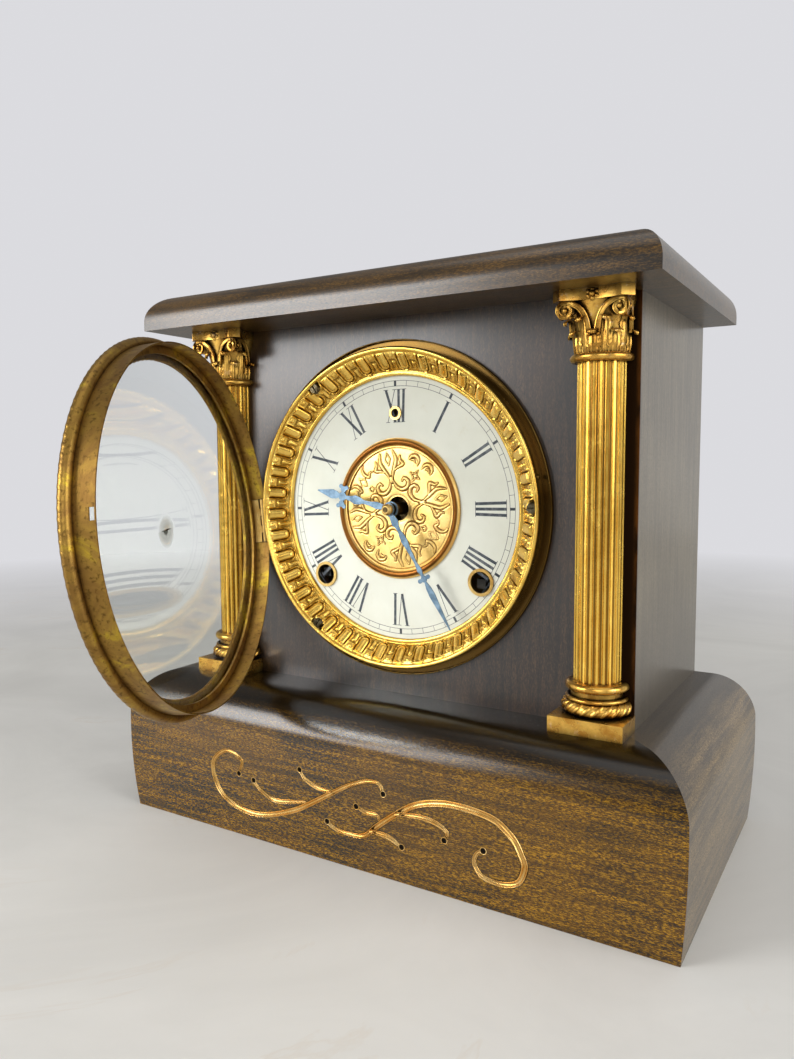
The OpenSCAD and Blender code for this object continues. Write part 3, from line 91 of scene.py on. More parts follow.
class NodeMaker:
    """Short calls that add nodes to the tree in self.tree and feed their sockets."""

    def node(self, kind, settings=None, **inputs):
        made = self.tree.nodes.new(kind)
        for key, value in (settings or {}).items():
            setattr(made, key, value)
        for key, value in inputs.items():
            self.feed(made.inputs[key.replace("_", " ")], value)
        return made

    def feed(self, socket, value):
        if isinstance(value, bpy.types.NodeSocket):
            self.tree.links.new(value, socket)
        else:
            socket.default_value = value

    def maths(self, what, first, second=0.0):
        made = self.node("ShaderNodeMath", {"operation": what})
        self.feed(made.inputs[0], first)
        self.feed(made.inputs[1], second)
        return made.outputs[0]

    def times(self, first, second):
        return self.maths("MULTIPLY", first, second)

    def mix_shaders(self, share, first, second):
        made = self.node("ShaderNodeMixShader")
        for socket, value in zip(made.inputs, (share, first, second)):
            self.feed(socket, value)
        return made.outputs[0]

    def vector(self, what, first, second=None):
        made = self.node("ShaderNodeVectorMath", {"operation": what})
        self.feed(made.inputs[0], first)
        if second is not None:
            self.feed(made.inputs[1], second)
        return made.outputs


class Finish(NodeMaker):
    """A procedural material on Object coordinates."""

    def __init__(self, name, **shader):
        self.material = bpy.data.materials.new(name)
        self.material.use_nodes = True
        self.tree = self.material.node_tree
        self.shader = self.tree.nodes["Principled BSDF"]
        self.where = self.node("ShaderNodeTexCoord").outputs["Object"]
        for socket, value in shader.items():
            self.shader.inputs[socket.replace("_", " ")].default_value = value

    def stretched(self, x, y, z):
        return self.node("ShaderNodeMapping", Vector=self.where, Scale=(x, y, z)).outputs["Vector"]

    def noise(self, where, scale, detail, rough, warp=0.0):
        made = self.node(
            "ShaderNodeTexNoise", Vector=where, Scale=scale, Detail=detail, Roughness=rough, Distortion=warp
        )
        return made.outputs["Fac"]

    def between(self, value, start, end, most=None):
        """0 where the value is at start and 1 at end, or as much as most says."""
        made = self.node("ShaderNodeMapRange", Value=value, From_Min=start, From_Max=end)
        share = made.outputs["Result"]
        return share if most is None else self.times(share, most)

    def between_mm(self, value, start, end, most=None):
        """The same for a value in metres, with start and end in millimetres."""
        return self.between(value, start * MM, end * MM, most)

    def mix(self, share, first, second):
        made = self.node("ShaderNodeMix", {"data_type": "RGBA"})
        self.feed(made.inputs[0], share)
        self.feed(made.inputs[6], first)
        self.feed(made.inputs[7], second)
        return made.outputs[2]

    def colour(self, value):
        self.feed(self.shader.inputs["Base Color"], value)

    def rough(self, value):
        self.feed(self.shader.inputs["Roughness"], value)

    def graded_rough(self, value, low, high):
        graded = self.node("ShaderNodeMapRange", Value=value, To_Min=low, To_Max=high)
        self.rough(graded.outputs["Result"])

    def relief(self, height, depth, strength):
        made = self.node("ShaderNodeBump", Height=height, Distance=depth, Strength=strength)
        self.feed(self.shader.inputs["Normal"], made.outputs["Normal"])

    def open_air(self, reach):
        """1 on an open surface, less in a recess whose walls stand within reach; the finishes place painted
        shade with it.
        """
        return self.node("ShaderNodeAmbientOcclusion", {"samples": 6}, Distance=reach).outputs["AO"]

    def axis(self, name):
        """The place along X, Y or Z, in metres."""
        return self.node("ShaderNodeSeparateXYZ", Vector=self.where).outputs[name]

    def dial_radius(self):
        """Distance from the dial's axis, in metres."""
        away = self.vector("SUBTRACT", self.where, (0, 0, DIAL_Z * MM))["Vector"]
        flat = self.vector("MULTIPLY", away, (1, 0, 1))["Vector"]
        return self.vector("LENGTH", flat)["Value"]

    # Painted shade in the recesses of embossing, read from a point attribute
    def recess_shade(self):
        return self.node("ShaderNodeAttribute", {"attribute_name": "recess_shade"}).outputs["Fac"]


# Where the wood's tone changes, in millimetres: heights, and distances from the middle of the clock. The
# strip in front and the foot of the side panels and the tops of the base's mouldings take painted shade,
# the base's top partly a dark stain too
STRIP_DEPTH = 1.5
WORN_EDGE = (108.4, 110.4)
FOOT_SHADE = (130, 80)
BASE_TOP_SHADE = (50, 66)
BASE_SIDE_SHADE = (64, 70)
SIDE_SHINE = 0.6
SIDE_COAT = 0.4

# Where the gilding's tone changes, in millimetres from the shaft's and the dial's axes: painted shade in
# the flutes, painted shadow and dark reflection on the ring's standing wall and flange, and painted shade
# in the groove round the centre's rim
FLUTE_SHADE = (8.9, 8.68)
RING_WALL = (71.8, 72.5)
RIM_GROOVE_IN = (28.9, 29.3)
RIM_GROOVE_OUT = (31.6, 31.2)


def rgb(red, green, blue):
    """A colour written in 0 to 255, as the linear one that a shader takes."""
    tone = [c / 255 for c in (red, green, blue)]
    return tuple(c / 12.92 if c <= 0.04045 else ((c + 0.055) / 1.055) ** 2.4 for c in tone) + (1.0,)


def wood(name, dark, middle, light, along, rough, fleck=0.0, fleck_tone=None, shine=0.4):
    """Stained and varnished wood, with its grain along x, y or z and fine specks of the stain."""
    made = Finish(name, Specular_IOR_Level=shine, Coat_Weight=0.8 * shine, Coat_Roughness=0.2)
    stretch = [22.0 if axis == along else 420.0 for axis in "xyz"]
    hair = [800.0 if axis == along else 3200.0 for axis in "xyz"]
    figure = made.noise(made.stretched(*stretch), 1.0, 6.0, 0.6, 0.4)
    specks = made.noise(made.stretched(*hair), 1.0, 2.0, 0.6)
    cloud = made.noise(made.where, 15.0, 3.0, 0.5)
    tone = made.mix(made.between(figure, 0.42, 0.6), dark, middle)
    tone = made.mix(made.between(cloud, 0.42, 0.72, most=0.7), tone, light)
    tone = made.mix(made.between(specks, 0.52, 0.62, most=0.9), tone, dark)
    if fleck:
        grains = made.noise(made.stretched(*[0.8 * s for s in hair]), 1.0, 3.0, 0.75)
        lit = made.maths("ADD", 0.35, made.between(figure, 0.4, 0.58, most=0.65))
        tone = made.mix(made.times(made.between(grains, 0.49, 0.6, most=fleck), lit), tone, fleck_tone)
    made.tone = tone
    made.colour(tone)
    made.graded_rough(specks, rough - 0.08, rough + 0.14)
    made.relief(made.maths("ADD", specks, made.times(figure, 0.8)), 0.00005, 0.4)
    return made


def darker_above(made, start, end, dark, most):
    """The wood's tone, going over to a dark one between two heights in millimetres."""
    return made.mix(made.between_mm(made.axis("Z"), start, end, most), made.tone, dark)


def side_wood():
    """The side panels: a painted shadow as a dark strip in front, painted shade towards the foot, and an
    orange brown edge where the stain is rubbed off.
    """
    made = wood("stained_side_wood", rgb(76, 67, 50), rgb(98, 88, 68), rgb(118, 108, 88), "z",
                rough=0.28, fleck=0.4, fleck_tone=rgb(150, 132, 104), shine=SIDE_SHINE)
    in_front = made.between_mm(made.axis("Y"), PANEL_Y + STRIP_DEPTH, PANEL_Y)
    outer = made.between_mm(made.maths("ABSOLUTE", made.axis("X")), *WORN_EDGE)
    worn = made.between(made.noise(made.stretched(300, 300, 70), 1.0, 4.0, 0.6), 0.36, 0.62)
    # Painted shade towards the foot of the panel
    foot = made.between_mm(made.axis("Z"), *FOOT_SHADE, most=0.7)
    tone = made.mix(foot, made.tone, rgb(58, 48, 32))
    # Painted shadow on the dark strip in front
    tone = made.mix(in_front, tone, rgb(30, 18, 8))
    sheen = made.maths("SUBTRACT", 1.0, in_front)
    made.feed(made.shader.inputs["Specular IOR Level"], made.times(sheen, SIDE_SHINE))
    made.feed(made.shader.inputs["Coat Weight"], made.times(sheen, SIDE_COAT))
    share = made.times(made.times(in_front, outer), worn)
    made.colour(made.mix(made.times(share, 0.8), tone, rgb(96, 58, 22)))
    return made.material


def front_wood():
    made = wood("dark_front_wood", rgb(10, 5, 2), rgb(38, 22, 10), rgb(58, 37, 20), "z",
                rough=0.4, fleck=0.4, fleck_tone=rgb(98, 70, 42), shine=0.6)
    return made.material


def base_wood():
    made = wood("base_wood", rgb(14, 8, 1), rgb(84, 54, 3), rgb(104, 68, 6), "x",
                rough=0.2, fleck=0.85, fleck_tone=rgb(184, 134, 14), shine=0.38)
    # The base's top: partly a dark stain, partly painted shade
    made.colour(darker_above(made, *BASE_TOP_SHADE, rgb(6, 4, 1), 0.95))
    return made.material


def base_side_wood():
    made = wood("base_side_wood", rgb(40, 28, 12), rgb(96, 76, 44), rgb(118, 96, 60), "y",
                rough=0.33, fleck=0.5, fleck_tone=rgb(170, 142, 92), shine=0.5)
    # Painted shade towards the top of the side moulding
    made.colour(darker_above(made, *BASE_SIDE_SHADE, rgb(52, 42, 28), 0.8))
    return made.material


def top_wood():
    made = wood("top_wood", rgb(16, 10, 4), rgb(58, 40, 16), rgb(84, 61, 28), "x",
                rough=0.29, fleck=0.5, fleck_tone=rgb(132, 97, 38), shine=0.46)
    return made.material


def back_wood():
    tones = (rgb(96, 68, 42), rgb(142, 106, 70), rgb(164, 128, 90))
    return wood("plain_back_wood", *tones, "z", rough=0.62).material


def gilt(name, bright, middle, dark, rough, reach=0.003, worn=0.0, metal=0.9, open_at=0.86, specks=0.5,
         grain=0.00006):
    """Gilding with painted shade in its recesses, and rubbed pale in places."""
    made = Finish(name, Metallic=metal)
    cloud = made.noise(made.where, 140.0, 5.0, 0.6)
    fine = made.noise(made.where, 900.0, 4.0, 0.6)
    tone = made.mix(made.between(cloud, 0.36, 0.66), middle, bright)
    # Painted shade: the dark tone in recesses
    tone = made.mix(made.between(made.open_air(reach), 0.3, open_at), dark, tone)
    tone = made.mix(made.between(fine, 0.6, 0.75, most=specks), tone, dark)
    if worn:
        spots = made.noise(made.where, 210.0, 6.0, 0.7)
        tone = made.mix(made.between(spots, 0.6, 0.68, most=worn), tone, rgb(236, 214, 190))
    made.tone = tone
    made.colour(tone)
    made.graded_rough(cloud, rough - 0.08, rough + 0.16)
    made.relief(fine, grain, 0.4)
    return made


def column_gilt():
    made = gilt("column_gilt", rgb(240, 194, 96), rgb(190, 134, 52), rgb(34, 18, 4), rough=0.24,
                reach=0.0045, worn=0.3, open_at=0.98)
    return made.material


def shaft_gilt():
    """The fluted shafts: even gilding, with painted shade where the flutes are deepest."""
    made = gilt("shaft_gilt", rgb(250, 208, 98), rgb(238, 188, 78), rgb(84, 48, 8), rough=0.2,
                reach=0.0012, specks=0.08)
    beside = made.maths("SUBTRACT", made.maths("ABSOLUTE", made.axis("X")), COLUMN_X * MM)
    ahead = made.maths("SUBTRACT", made.axis("Y"), COLUMN_Y * MM)
    squares = made.maths("ADD", made.times(beside, beside), made.times(ahead, ahead))
    # Painted shade in the flutes, by distance from the shaft's axis
    depth = made.between_mm(made.maths("POWER", squares, 0.5), *FLUTE_SHADE, most=0.85)
    made.colour(made.mix(depth, made.tone, rgb(92, 52, 8)))
    return made.material


def ring_gilt():
    """The embossed ring, with painted shade between its eggs, and a painted shadow and dark reflection on
    its standing wall and flange.
    """
    made = gilt("ring_brass", rgb(246, 208, 108), rgb(228, 180, 76), rgb(84, 54, 10), rough=0.19,
                specks=0.3, grain=0.00002)
    # Painted shade in the gaps between the eggs
    tone = made.mix(made.times(made.recess_shade(), 0.8), made.tone, rgb(134, 94, 22))
    # Painted shadow and dark reflection on the standing wall and flange
    painted_wall_shade = made.between_mm(made.dial_radius(), *RING_WALL, most=0.9)
    made.colour(made.mix(painted_wall_shade, tone, rgb(58, 38, 14)))
    return made.material


def centre_gilt():
    """Pale embossed gilding, with painted shade in dark lines round the ornament and in the groove round
    its rim.
    """
    made = gilt("centre_gilt", rgb(240, 206, 132), rgb(228, 186, 104), rgb(120, 76, 26), rough=0.3,
                reach=0.002)
    stain = made.noise(made.where, 60.0, 3.0, 0.5)
    tone = made.mix(made.between(stain, 0.52, 0.75, most=0.35), made.tone, rgb(226, 160, 110))
    # Painted shade in the grooves round the ornament
    tone = made.mix(made.recess_shade(), tone, rgb(96, 56, 16))
    radius = made.dial_radius()
    # Painted shade in the groove round the rim
    groove = made.times(made.between_mm(radius, *RIM_GROOVE_IN), made.between_mm(radius, *RIM_GROOVE_OUT))
    made.colour(made.mix(groove, tone, rgb(112, 68, 22)))
    return made.material


def carving_gilt():
    """Gold paint in the carved lines, with painted shade in the grooves."""
    made = gilt("carving_gilt", rgb(252, 214, 140), rgb(226, 174, 88), rgb(74, 40, 8), rough=0.2,
                reach=0.0016, metal=0.85, open_at=0.9, specks=0.4)
    return made.material


def aged_brass():
    """The bezel's brass, browned with age, with brighter yellow patches, dark spots and painted shade in
    its recesses.
    """
    made = Finish("aged_bezel_brass", Metallic=0.9)
    patches = made.noise(made.where, 70.0, 6.0, 0.65, 0.8)
    specks = made.noise(made.where, 600.0, 4.0, 0.6)
    streaks = made.noise(made.stretched(900, 60, 60), 1.0, 3.0, 0.5)
    tone = made.mix(made.between(patches, 0.4, 0.56), rgb(134, 100, 48), rgb(158, 124, 56))
    tone = made.mix(made.between(patches, 0.56, 0.66), tone, rgb(192, 162, 52))
    tone = made.mix(made.between(specks, 0.54, 0.66, most=0.7), tone, rgb(84, 60, 24))
    # Painted shade in recesses
    tone = made.mix(made.between(made.open_air(0.003), 0.25, 0.8), rgb(70, 50, 22), tone)
    made.colour(tone)
    made.graded_rough(patches, 0.5, 0.3)
    made.relief(made.maths("ADD", specks, streaks), 0.00008, 0.35)
    return made.material


def turned_metal(name, bright, dull, rough):
    """Turned or stamped metal with fine scratches, finger marks and painted shade in the corners."""
    made = Finish(name, Metallic=1.0)
    scratches = made.noise(made.stretched(60, 60, 1400), 1.0, 3.0, 0.6)
    marks = made.noise(made.where, 90.0, 4.0, 0.6)
    tone = made.mix(made.between(marks, 0.38, 0.68), dull, bright)
    # Painted shade in the corners: a darker copy of the dull tone
    shade = tuple(0.35 * c for c in dull[:3]) + (1.0,)
    tone = made.mix(made.between(made.open_air(0.003), 0.25, 0.85), shade, tone)
    made.colour(tone)
    made.graded_rough(marks, rough + 0.12, rough - 0.05)
    made.relief(scratches, 0.00003, 0.3)
    return made.material


def black_iron():
    made = Finish("black_iron", Metallic=0.4)
    grains = made.noise(made.where, 500.0, 5.0, 0.7)
    made.colour(made.mix(made.between(grains, 0.4, 0.7), rgb(26, 26, 28), rgb(62, 60, 60)))
    made.rough(made.between(grains, -0.6, 1.4))
    made.relief(grains, 0.0003, 0.5)
    return made.material


def hand_blue():
    """The hands' pale blued steel, darker where handled."""
    made = Finish("pale_blue_hands", Metallic=0.55)
    cloud = made.noise(made.where, 260.0, 4.0, 0.6)
    tone = made.mix(made.between(cloud, 0.35, 0.7), rgb(72, 96, 116), rgb(124, 150, 170))
    made.colour(tone)
    made.rough(made.between(cloud, -0.3, 1.8))
    made.relief(cloud, 0.00004, 0.3)
    return made.material


def dial_paint():
    """Old cream dial paint: faint clouds, foxing and hairline wear."""
    made = Finish("dial_paint", Specular_IOR_Level=0.15)
    cloud = made.noise(made.where, 28.0, 4.0, 0.6)
    foxing = made.noise(made.where, 160.0, 6.0, 0.7)
    tone = made.mix(made.between(cloud, 0.35, 0.7), rgb(202, 203, 190), rgb(213, 214, 203))
    made.colour(made.mix(made.between(foxing, 0.62, 0.78, most=0.4), tone, rgb(196, 186, 158)))
    made.rough(made.between(foxing, -0.8, 1.3))
    made.relief(foxing, 0.00003, 0.3)
    return made.material


def print_ink():
    """Dial ink, worn thin in places."""
    made = Finish("dial_ink", Specular_IOR_Level=0.3, Roughness=0.55)
    wear = made.noise(made.where, 420.0, 4.0, 0.7)
    broad = made.noise(made.where, 45.0, 2.0, 0.5)
    tone = made.mix(made.between(wear, 0.5, 0.72, most=0.4), rgb(56, 62, 70), rgb(150, 152, 152))
    made.colour(made.mix(made.between(broad, 0.56, 0.7, most=0.4), tone, rgb(128, 132, 134)))
    return made.material


def clear_glass():
    made = Finish("clear_glass", Roughness=0.0, IOR=1.5, Transmission_Weight=1.0)
    haze = made.noise(made.where, 120.0, 3.0, 0.5)
    made.colour(made.mix(haze, (0.97, 0.99, 0.98, 1.0), (0.93, 0.97, 0.95, 1.0)))
    made.relief(made.noise(made.where, 9.0, 2.0, 0.4), 0.0002, 0.15)
    return made.material


def dark_hole():
    """Painted shade for the inside of a hole, where hardly any light comes back."""
    made = Finish("dark_hole", Specular_IOR_Level=0.1, Roughness=0.9)
    grains = made.noise(made.where, 800.0, 3.0, 0.6)
    made.colour(made.mix(grains, rgb(8, 7, 6), rgb(24, 18, 14)))
    return made.material


# A finish for each material slot of the record
finishes = {
    "case_wood": side_wood(),
    "front_wood": front_wood(),
    "base_wood": base_wood(),
    "back_wood": back_wood(),
    "gilt_metal": column_gilt(),
    "ring_brass": ring_gilt(),
    "bezel_brass": aged_brass(),
    "brass": turned_metal("turned_brass", rgb(222, 190, 120), rgb(176, 138, 74), 0.28),
    "plate_brass": turned_metal("plate_brass", rgb(214, 182, 112), rgb(170, 134, 74), 0.34),
    "steel": turned_metal("bright_steel", rgb(196, 196, 194), rgb(120, 116, 110), 0.3),
    "gong_steel": turned_metal("blued_gong_steel", rgb(96, 106, 140), rgb(58, 60, 78), 0.32),
    "black_iron": black_iron(),
    "hand_blue": hand_blue(),
    "dial_white": dial_paint(),
    "glass": clear_glass(),
}
gilding = finishes["gilt_metal"]
top_finish = top_wood()
base_side_finish = base_side_wood()
shaft_finish = shaft_gilt()
centre_finish = centre_gilt()
carving_finish = carving_gilt()
ink = print_ink()
hole_finish = dark_hole()
# Painted shade: darker copies of brass and steel for the parts seen deep in the case through the dial's
# holes
shaded_metal = turned_metal("painted_shade_brass", rgb(92, 76, 48), rgb(48, 38, 24), 0.36)
shaded_steel = turned_metal("painted_shade_steel", rgb(66, 64, 60), rgb(28, 27, 26), 0.34)

# Pieces whose finish is not the one of their slot
own_finish = {
    "top_board": top_finish,
    "base_left_moulding": base_side_finish,
    "base_right_moulding": base_side_finish,
    "left_shaft": shaft_finish,
    "right_shaft": shaft_finish,
    "dial_centre": centre_finish,
    "dial_ring_screws": turned_metal("dark_screw_steel", rgb(132, 122, 96), rgb(58, 50, 36), 0.24),
    # Painted shade on the parts deep behind the dial
    "hour_wheel": shaded_metal,
    "centre_arbor": shaded_metal,
    "time_winding_arbor": shaded_steel,
    "strike_winding_arbor": shaded_steel,
}
for part in frame["record"]["subparts"]:
    node = nodes[part["node"]]
    finish = own_finish.get(part["node"], finishes[part["material_slot"]])
    node.data.materials.clear()
    node.data.materials.append(finish)

# Its shadow would darken the left of the dial, because clear glass casts a full one
nodes["door_glass"].visible_shadow = False


# ---------------------------------------------------------------- making


def sheet_faces(rows, columns, closed=False):
    """Quads over a grid of points that is stored row by row; closed joins the last column to the first."""
    quads = []
    for r in range(rows - 1):
        for c in range(columns if closed else columns - 1):
            d = (c + 1) % columns
            quads.append((r * columns + c, r * columns + d, (r + 1) * columns + d, (r + 1) * columns + c))
    return quads


def point_values(mesh, name, values):
    attribute = mesh.attributes.new(name, "FLOAT", "POINT")
    attribute.data.foreach_set("value", np.asarray(values, dtype=np.float32))


def new_piece(name, points, faces=(), edges=(), recess_shade=None, finish=None):
    mesh = bpy.data.meshes.new(name)
    mesh.from_pydata([tuple(float(v) for v in p) for p in points], list(edges), list(faces))
    if recess_shade is not None:
        point_values(mesh, "recess_shade", recess_shade)
    if finish:
        mesh.materials.append(finish)
    piece = bpy.data.objects.new(name, mesh)
    bpy.context.scene.collection.objects.link(piece)
    return piece


def settle(piece, place, body, finish, sharp=50):
    """Makes the piece a plain mesh in its place, in metres, and rides it on its body."""
    graph = bpy.context.evaluated_depsgraph_get()
    mesh = bpy.data.meshes.new_from_object(piece.evaluated_get(graph))
    piece.modifiers.clear()
    piece.data = mesh
    mesh.materials.clear()
    mesh.materials.append(finish)
    mesh.transform(metres @ place)
    mesh.shade_smooth()
    mesh.set_sharp_from_angle(angle=math.radians(sharp))
    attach(piece, body)


class Tree(NodeMaker):
    """A Geometry Nodes tree with named sizes."""

    def __init__(self, name):
        self.tree = bpy.data.node_groups.new(name, "GeometryNodeTree")
        self.tree.interface.new_socket("Geometry", in_out="INPUT", socket_type="NodeSocketGeometry")
        self.tree.interface.new_socket("Geometry", in_out="OUTPUT", socket_type="NodeSocketGeometry")
        self.start = self.tree.nodes.new("NodeGroupInput")
        self.end = self.tree.nodes.new("NodeGroupOutput")

    def size(self, name, kind):
        self.tree.interface.new_socket(name, in_out="INPUT", socket_type="NodeSocket" + kind)
        return self.start.outputs[name]

    def give(self, geometry, material):
        finished = self.node("GeometryNodeSetMaterial", Geometry=geometry, Material=material)
        self.feed(self.end.inputs["Geometry"], finished.outputs["Geometry"])


def round_copies():
    """Copies of the piece round the z axis, welded where they meet."""
    t = Tree("copies_round_an_axis")
    count = t.size("Count", "Int")
    start = t.size("Start", "Float")
    step = t.size("Step", "Float")
    weld = t.size("Weld", "Float")
    finish = t.size("Finish", "Material")
    points = t.node("GeometryNodePoints", Count=count)
    index = t.node("GeometryNodeInputIndex").outputs[0]
    angle = t.maths("ADD", t.times(index, step), start)
    turn = t.node("FunctionNodeAxisAngleToRotation", Axis=(0, 0, 1), Angle=angle).outputs[0]
    shape = t.start.outputs["Geometry"]
    copies = t.node("GeometryNodeInstanceOnPoints", Points=points.outputs[0], Instance=shape, Rotation=turn)
    solid = t.node("GeometryNodeRealizeInstances", Geometry=copies.outputs[0])
    welded = t.node("GeometryNodeMergeByDistance", Geometry=solid.outputs[0], Distance=weld)
    t.give(welded.outputs[0], finish)
    return t.tree


def along_paths():
    """A closed profile drawn along the piece's edges, as wide at each point as its width attribute says."""
    t = Tree("profile_along_paths")
    profile = t.size("Profile", "Object")
    facing = t.size("Facing", "Vector")
    finish = t.size("Finish", "Material")
    shape = t.node("GeometryNodeObjectInfo", Object=profile)
    outline = t.node("GeometryNodeMeshToCurve", Mesh=shape.outputs["Geometry"])
    path = t.node("GeometryNodeMeshToCurve", Mesh=t.start.outputs["Geometry"])
    named = t.node("GeometryNodeInputNamedAttribute", {"data_type": "FLOAT"}, Name="width")
    width = named.outputs["Attribute"]
    sized = t.node("GeometryNodeSetCurveRadius", Curve=path.outputs[0], Radius=width)
    faced = t.node("GeometryNodeSetCurveNormal", {"mode": "FREE"}, Curve=sized.outputs[0], Normal=facing)
    drawn = t.node(
        "GeometryNodeCurveToMesh", Curve=faced.outputs[0], Profile_Curve=outline.outputs[0], Fill_Caps=True
    )
    if "Scale" in drawn.inputs:
        t.tree.links.new(width, drawn.inputs["Scale"])
    solid = t.node("GeometryNodeRealizeInstances", Geometry=drawn.outputs[0])
    t.give(solid.outputs[0], finish)
    return t.tree


copies_tree = round_copies()
paths_tree = along_paths()


def use_tree(piece, tree, **sizes):
    modifier = piece.modifiers.new(tree.name, "NODES")
    modifier.node_group = tree
    for item in tree.interface.items_tree:
        if item.item_type == "SOCKET" and item.in_out == "INPUT" and item.name in sizes:
            modifier[item.identifier] = sizes[item.name]


def copy_round(piece, count, finish, start=0.0, weld=0.005, step=None):
    """Count copies of the piece round its z axis, step degrees apart, or evenly all round."""
    first = math.radians(start)
    turn = math.radians(360 / count if step is None else step)
    use_tree(piece, copies_tree, Count=count, Start=first, Step=turn, Weld=weld, Finish=finish)


def smooth_path(points, step):
    """A smooth line through the points, cut about every step millimetres, and each cut's share."""
    pts = [np.array(p, dtype=float) for p in points]
    ends = [2 * pts[0] - pts[1]] + pts + [2 * pts[-1] - pts[-2]]
    line = []
    for a, b, c, d in zip(ends, ends[1:], ends[2:], ends[3:]):
        parts = max(2, int(np.linalg.norm(c - b) / step))
        for i in range(parts):
            t = i / parts
            bend = (2 * a - 5 * b + 4 * c - d) * t * t
            twist = (3 * b - a - 3 * c + d) * t**3
            line.append(0.5 * (2 * b + (c - a) * t + bend + twist))
    line.append(pts[-1])
    steps = [0.0] + [float(np.linalg.norm(q - p)) for p, q in zip(line, line[1:])]
    run = np.cumsum(steps)
    return np.array(line), run / run[-1]


def drawn_along(name, paths, widths, profile, place, finish, sharp):
    """A settled piece with a closed profile of (side, out) points drawn along each path.

    Widths give the profile's scale at each point of a path, and out points to the front.
    """
    points, edges, sizes = [], [], []
    for path, width in zip(paths, widths):
        first = len(points)
        points.extend(path)
        sizes.extend(width)
        edges.extend((first + i, first + i + 1) for i in range(len(path) - 1))
    piece = new_piece(name, points, edges=edges, finish=finish)
    point_values(piece.data, "width", sizes)
    loop = [((i + 1) % len(profile), i) for i in range(len(profile))]
    outline = new_piece(name + "_profile", [(out, side, 0) for side, out in profile], edges=loop)
    use_tree(piece, paths_tree, Profile=outline, Facing=(0, -1, 0), Finish=finish)
    settle(piece, place, "case", finish, sharp)
    mesh = outline.data
    bpy.data.objects.remove(outline)
    bpy.data.meshes.remove(mesh)


def ball(radius, centre, rings=8, around=14):
    points, faces = [], []
    for i in range(rings + 1):
        a = math.pi * i / rings
        for j in range(around):
            b = 2 * math.pi * j / around
            spot = Vector((math.sin(a) * math.cos(b), math.sin(a) * math.sin(b), math.cos(a))) * radius
            points.append(tuple(Vector(centre) + spot))
    return points, [tuple(reversed(f)) for f in sheet_faces(rings + 1, around, True)]


def join_shapes(shapes):
    points, faces = [], []
    for some_points, some_faces in shapes:
        first = len(points)
        points += some_points
        faces += [tuple(first + k for k in f) for f in some_faces]
    return points, faces


def smoothstep(value, start, end):
    t = np.clip((value - start) / (end - start), 0, 1)
    return t * t * (3 - 2 * t)


def dome(distance, reach):
    """Round bump: 1 in the middle, 0 from reach outwards."""
    return np.sqrt(np.clip(1 - (distance / reach) ** 2, 0, 1))


def ridge(distance, half):
    return np.cos(np.clip(np.abs(distance) / half, 0, 1) * math.pi / 2) ** 1.2


# ---------------------------------------------------------------- dial ring

EGG_COUNT = 40
EGG_START = 3.5
EGG_HALF = 2.35
EGG_RISE = 1.5
EGG_LOW = 3.9
EGG_HIGH = 12
FRAME_AWAY = 3.05
FRAME_HALF = 0.5
FRAME_RISE = 0.85
BLOCK_RISE = 0.5
BEAD_ALONG = 8.9
BEAD_R = 0.95
BEAD_RISE = 0.7
DART_RISE = 0.8
RIDGE_AT = 71.3
RIDGE_R = 1.1
SCREW_SEAT_R = 3.6
SCREW_SEAT_EDGE = 0.7
SCREW_SEAT_Z = 5.55
CATCH_R = 1.2
CATCH_AT = 72.1
CATCH_ANGLE = 0.21
CATCH_Z = 4.5

# Outlines as (distance from the dial's axis, height over the front panel)
RING_LIP = [(60.2, -2.05), (60.2, -1.15), (60.5, -0.7), (61.2, -0.45), (61.8, -0.58)]
RING_OUTSIDE = [(72.4, 4.0), (72.4, 0.6), (75.4, 0.6), (75.4, 2.0), (75.7, 2.2), (76.0, 2.0), (76.0, 0.0)]
RING_BACK = [(71.8, 0.0), (71.8, 6.2), (70.2, 5.7), (62.8, -1.45), (61.3, -1.3), (60.8, -2.05)]


def ring_relief(along, across, pitch):
    """Height and painted shade of the embossing: an egg in a U-shaped frame, and a bead over a dart beside
    it.

    Along is measured up the slope from the ring's foot, and across from the middle of an egg.
    """
    distance = np.hypot(across, along - np.clip(along, EGG_LOW, EGG_HIGH))
    below_crest = 1 - smoothstep(along, 10.1, 10.7)
    egg = EGG_RISE * dome(distance, EGG_HALF) * (1 - smoothstep(along, 9.8, 10.3))
    frame_line = FRAME_RISE * ridge(distance - FRAME_AWAY, FRAME_HALF) * below_crest
    gap = np.abs(across) - pitch / 2
    beyond = smoothstep(distance, FRAME_AWAY - 0.05, FRAME_AWAY + 0.25)
    block = BLOCK_RISE * beyond * smoothstep(along, 6.7, 7.2) * below_crest
    bead = BEAD_RISE * dome(np.hypot(gap, along - BEAD_ALONG), BEAD_R)
    dart_ends = smoothstep(along, 0.6, 2.0) * (1 - smoothstep(along, 5.4, 6.1))
    dart = DART_RISE * ridge(gap, 0.5 + 0.16 * along) * dart_ends
    height = egg + frame_line + block + bead + beyond * dart
    # Painted shade where the embossing's height stays low, between its raised forms
    zone = smoothstep(along, 1.0, 2.2) * (1 - smoothstep(along, 10.1, 10.5))
    return height, zone * (1 - smoothstep(height, 0.05, 0.3))


